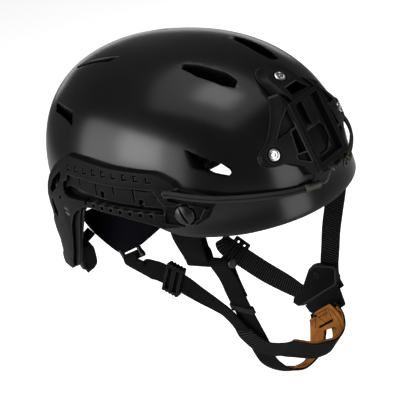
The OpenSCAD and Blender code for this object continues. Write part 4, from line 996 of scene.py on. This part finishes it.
def make_wings(finish):
    """Thin moulded sheets that lean in above the wall's height."""
    front, back = WING_LOW[0][0], WING_LOW[-1][0]

    def place(u, v):
        y = front + (back - front) * u
        low, high = soft_lookup(y, WING_LOW, 3), soft_lookup(y, WING_HIGH, 4)
        z = low + (high - low) * v
        x = soft_lookup(y, WING_X, 6)
        return Vector((-x * (1 - 0.01 * max(0, (z - WALL) / 9) ** 2), y, z)) * MM

    bm = bmesh.new()
    formed_grid(bm, 60, 10, place)
    bmesh.ops.recalc_face_normals(bm, faces=bm.faces)
    bmesh.ops.solidify(bm, geom=bm.faces, thickness=WING_T * MM)
    wing = as_object(bm, "retention_wing_right_sheet", finish, 40)
    soften(wing, 50, 0.5, 2, 50)
    belongs(wing, "helmet", "wing_sheet", "retention_wing_right")
    mirrored(wing, "retention_wing_left_sheet", "retention_wing_left")


# Shroud screws

# Heights of the side feet and the top foot, how far each stands off the shell, and the side feet's span
FOOT_Z, FOOT_STAND, FOOT_SPAN = (56.5, 96.8), (0.8, 4.2), 89
# How far a side screw is in from its foot's end, the head's seat over the foot, and the shank's depth
SCREW_IN, SCREW_SEAT, SCREW_DEEP = 1.8, 3.1, 7
# Half section of the head, from the socket's floor to the shank, as radius and height
SCREW_HEAD = [(0, 0.8), (1.3, 0.8), (1.3, 2.2), (1.45, 2.4), (2.25, 2.4), (2.4, 2.2), (2.4, 0.7),
              (3.3, 0.7), (3.3, 1.9), (3.5, 2.1), (4.25, 2), (4.6, 1.8), (4.75, 1.4), (4.75, 0), (2, 0)]


def seat_on_shell(turn, rise):
    """Matrix of a place on the shell: X round it, Y up it and Z out of it."""
    across = (on_shell(turn + 0.5, rise, 0) - on_shell(turn - 0.5, rise, 0)).normalized()
    up = on_shell(turn, rise + 0.5, 0) - on_shell(turn, rise - 0.5, 0)
    out = across.cross(up).normalized()
    return standing(across, out.cross(across), out, on_shell(turn, rise, 0))


def make_shroud_screws(finish):
    """Three turned screws, each spun about its own axis and then set on the shell."""
    rise = rise_at(FOOT_Z[0])
    share = (FOOT_SPAN / 2 - SCREW_IN) / HALF_W / math.cos(math.radians(rise)) ** (2 / DOME_N)
    turn = math.degrees(math.asin(share ** (PLAN_N / 2)))
    bm = bmesh.new()
    for at, stand in (((-turn, rise), FOOT_STAND[0]), ((turn, rise), FOOT_STAND[0]),
                      ((0, rise_at(FOOT_Z[1])), FOOT_STAND[1])):
        low = -stand - SCREW_SEAT - SCREW_DEEP
        profile = SCREW_HEAD + [(2, low + 0.4), (1.6, low), (0, low)]
        line = [bm.verts.new((r, 0, z)) for r, z in profile]
        edges = [bm.edges.new(pair) for pair in zip(line, line[1:])]
        bmesh.ops.spin(bm, geom=line + edges, axis=(0, 0, 1), cent=(0, 0, 0), angle=2 * math.pi, steps=32,
                       use_merge=True)
        # The screws already set on the shell are tagged
        new = [v for v in bm.verts if not v.tag]
        bmesh.ops.transform(bm, verts=new, matrix=seat_on_shell(*at)
                            @ Matrix.Translation((0, 0, stand + SCREW_SEAT)))
        for v in new:
            v.tag = True
    weld(bm, 1e-4)
    from_mm(bm)
    belongs(as_object(bm, "shroud_screws_turned", finish, 28), "helmet", "bright_metal", "shroud_screws")


# Finishes that differ only by numbers

# Colour of raised edges: wear and a painted highlight
EDGE_WEAR_AND_LIGHT = (0.035, 0.035, 0.0355)
# Name, dark and light colour, roughness, grain, its depth, gloss and the colour of raised edges, painted
# lighter as wear and as a painted highlight, with painted shade in hollows
MOULDED = (
    ("satin_shell", (0.0035, 0.0035, 0.0037), (0.005, 0.005, 0.0052), 0.22, 1500, 0.00006),
    ("grained_plastic", (0.003, 0.003, 0.0032), (0.005, 0.005, 0.0052), 0.5, 1900, 0.00014, 0.1, EDGE_WEAR_AND_LIGHT),
    ("rail_plastic", (0.0025, 0.0025, 0.0027), (0.0042, 0.0042, 0.0044), 0.5, 1900, 0.00014, 0.06, EDGE_WEAR_AND_LIGHT),
    ("fitting_plastic", (0.003, 0.003, 0.0032), (0.0045, 0.0045, 0.0047), 0.48, 1600, 0.0001, 0.035, EDGE_WEAR_AND_LIGHT),
    ("smooth_sheet", (0.0015, 0.0015, 0.0025), (0.0022, 0.0022, 0.0034), 0.4, 1200, 0.00005, 0.005),
    ("keeper_webbing", (0.006, 0.006, 0.0065), (0.012, 0.012, 0.0125), 0.7, 2600, 0.0003, 0.1),
)
# Name, dark and light colour, roughness and how far it varies
METALS = (
    ("bright_steel", (0.5, 0.5, 0.5), (0.68, 0.68, 0.68), 0.2, 0.06),
    ("black_steel", (0.025, 0.025, 0.025), (0.05, 0.05, 0.05), 0.36, 0.1),
    ("olive_metal", (0.05, 0.05, 0.042), (0.09, 0.09, 0.076), 0.5, 0.1),
)
# Name, dark and light colour, pitch of the ribs in mm and their depth
WEBBINGS = (
    ("ribbed_webbing", (0.0004, 0.0004, 0.0005), (0.028, 0.028, 0.0285), 2.3, 0.0006),
    ("fine_webbing", (0.0006, 0.0006, 0.0007), (0.006, 0.006, 0.0063), 1.5, 0.0002),
)


def main():
    place_camera()
    studio()
    satin, grained, rail_plastic, fitting, sheet, plain_web = (moulded(*row) for row in MOULDED)
    steel, black_steel, olive = (metal(*row) for row in METALS)
    ribbed, fine = (webbing(*row) for row in WEBBINGS)
    leather = suede()

    make_shock_cords(braid())
    make_shell(satin)
    dressed("impact_liner", bead_foam(), "foam", width=0, sharp=40)
    make_pads(loop_cloth())
    for name in ("rail_right", "rail_left"):
        dressed(name, rail_plastic, "rail_plastic", width=0.35)
    dressed("shroud", grained, "rail_plastic", width=0.4)
    dressed("rail_screws", black_steel, "black_metal", width=0.25)
    dressed("rail_nuts", steel, "bright_metal", width=0.15)
    make_shroud_screws(steel)
    dressed("shroud_nuts", steel, "bright_metal", width=0.15)
    for side in ("right", "left"):
        dressed("cord_ferrule_" + side, olive, "olive_metal", width=0.2)
        dressed("cord_hook_" + side, olive, "olive_metal", width=0, sharp=60)
        dressed("strap_bar_" + side, black_steel, "black_metal", width=0.2)
        dressed("wing_loop_" + side, black_steel, "black_metal", width=0.3, flat=0)
        dressed("adjuster_" + side, fitting, "fitting_plastic", width=0.3)
    make_wings(sheet)
    for name, width in (("nape_carrier", 0.2), ("dial_housing", 0.3), ("dial_knob", 0.3)):
        dressed(name, fitting, "fitting_plastic", width=width)
    dressed("dial_pin", steel, "bright_metal", width=0.2)
    dressed("strap_keeper", plain_web, "webbing", width=0.7, steps=3, flat=0)
    dressed("buckle_plate", fitting, "fitting_plastic", width=0.7)
    make_plate_edge(fitting)
    dressed("buckle_stud", fitting, "fitting_plastic", width=0.2)
    dressed("buckle_half", fitting, "fitting_plastic", width=0.7)
    make_straps(fine, ribbed)
    make_hangers(fine)
    make_chin_cup(ribbed, fine, leather)
    make_tab(leather, thread())

    bpy.context.scene.view_settings.view_transform = "Standard"


main()
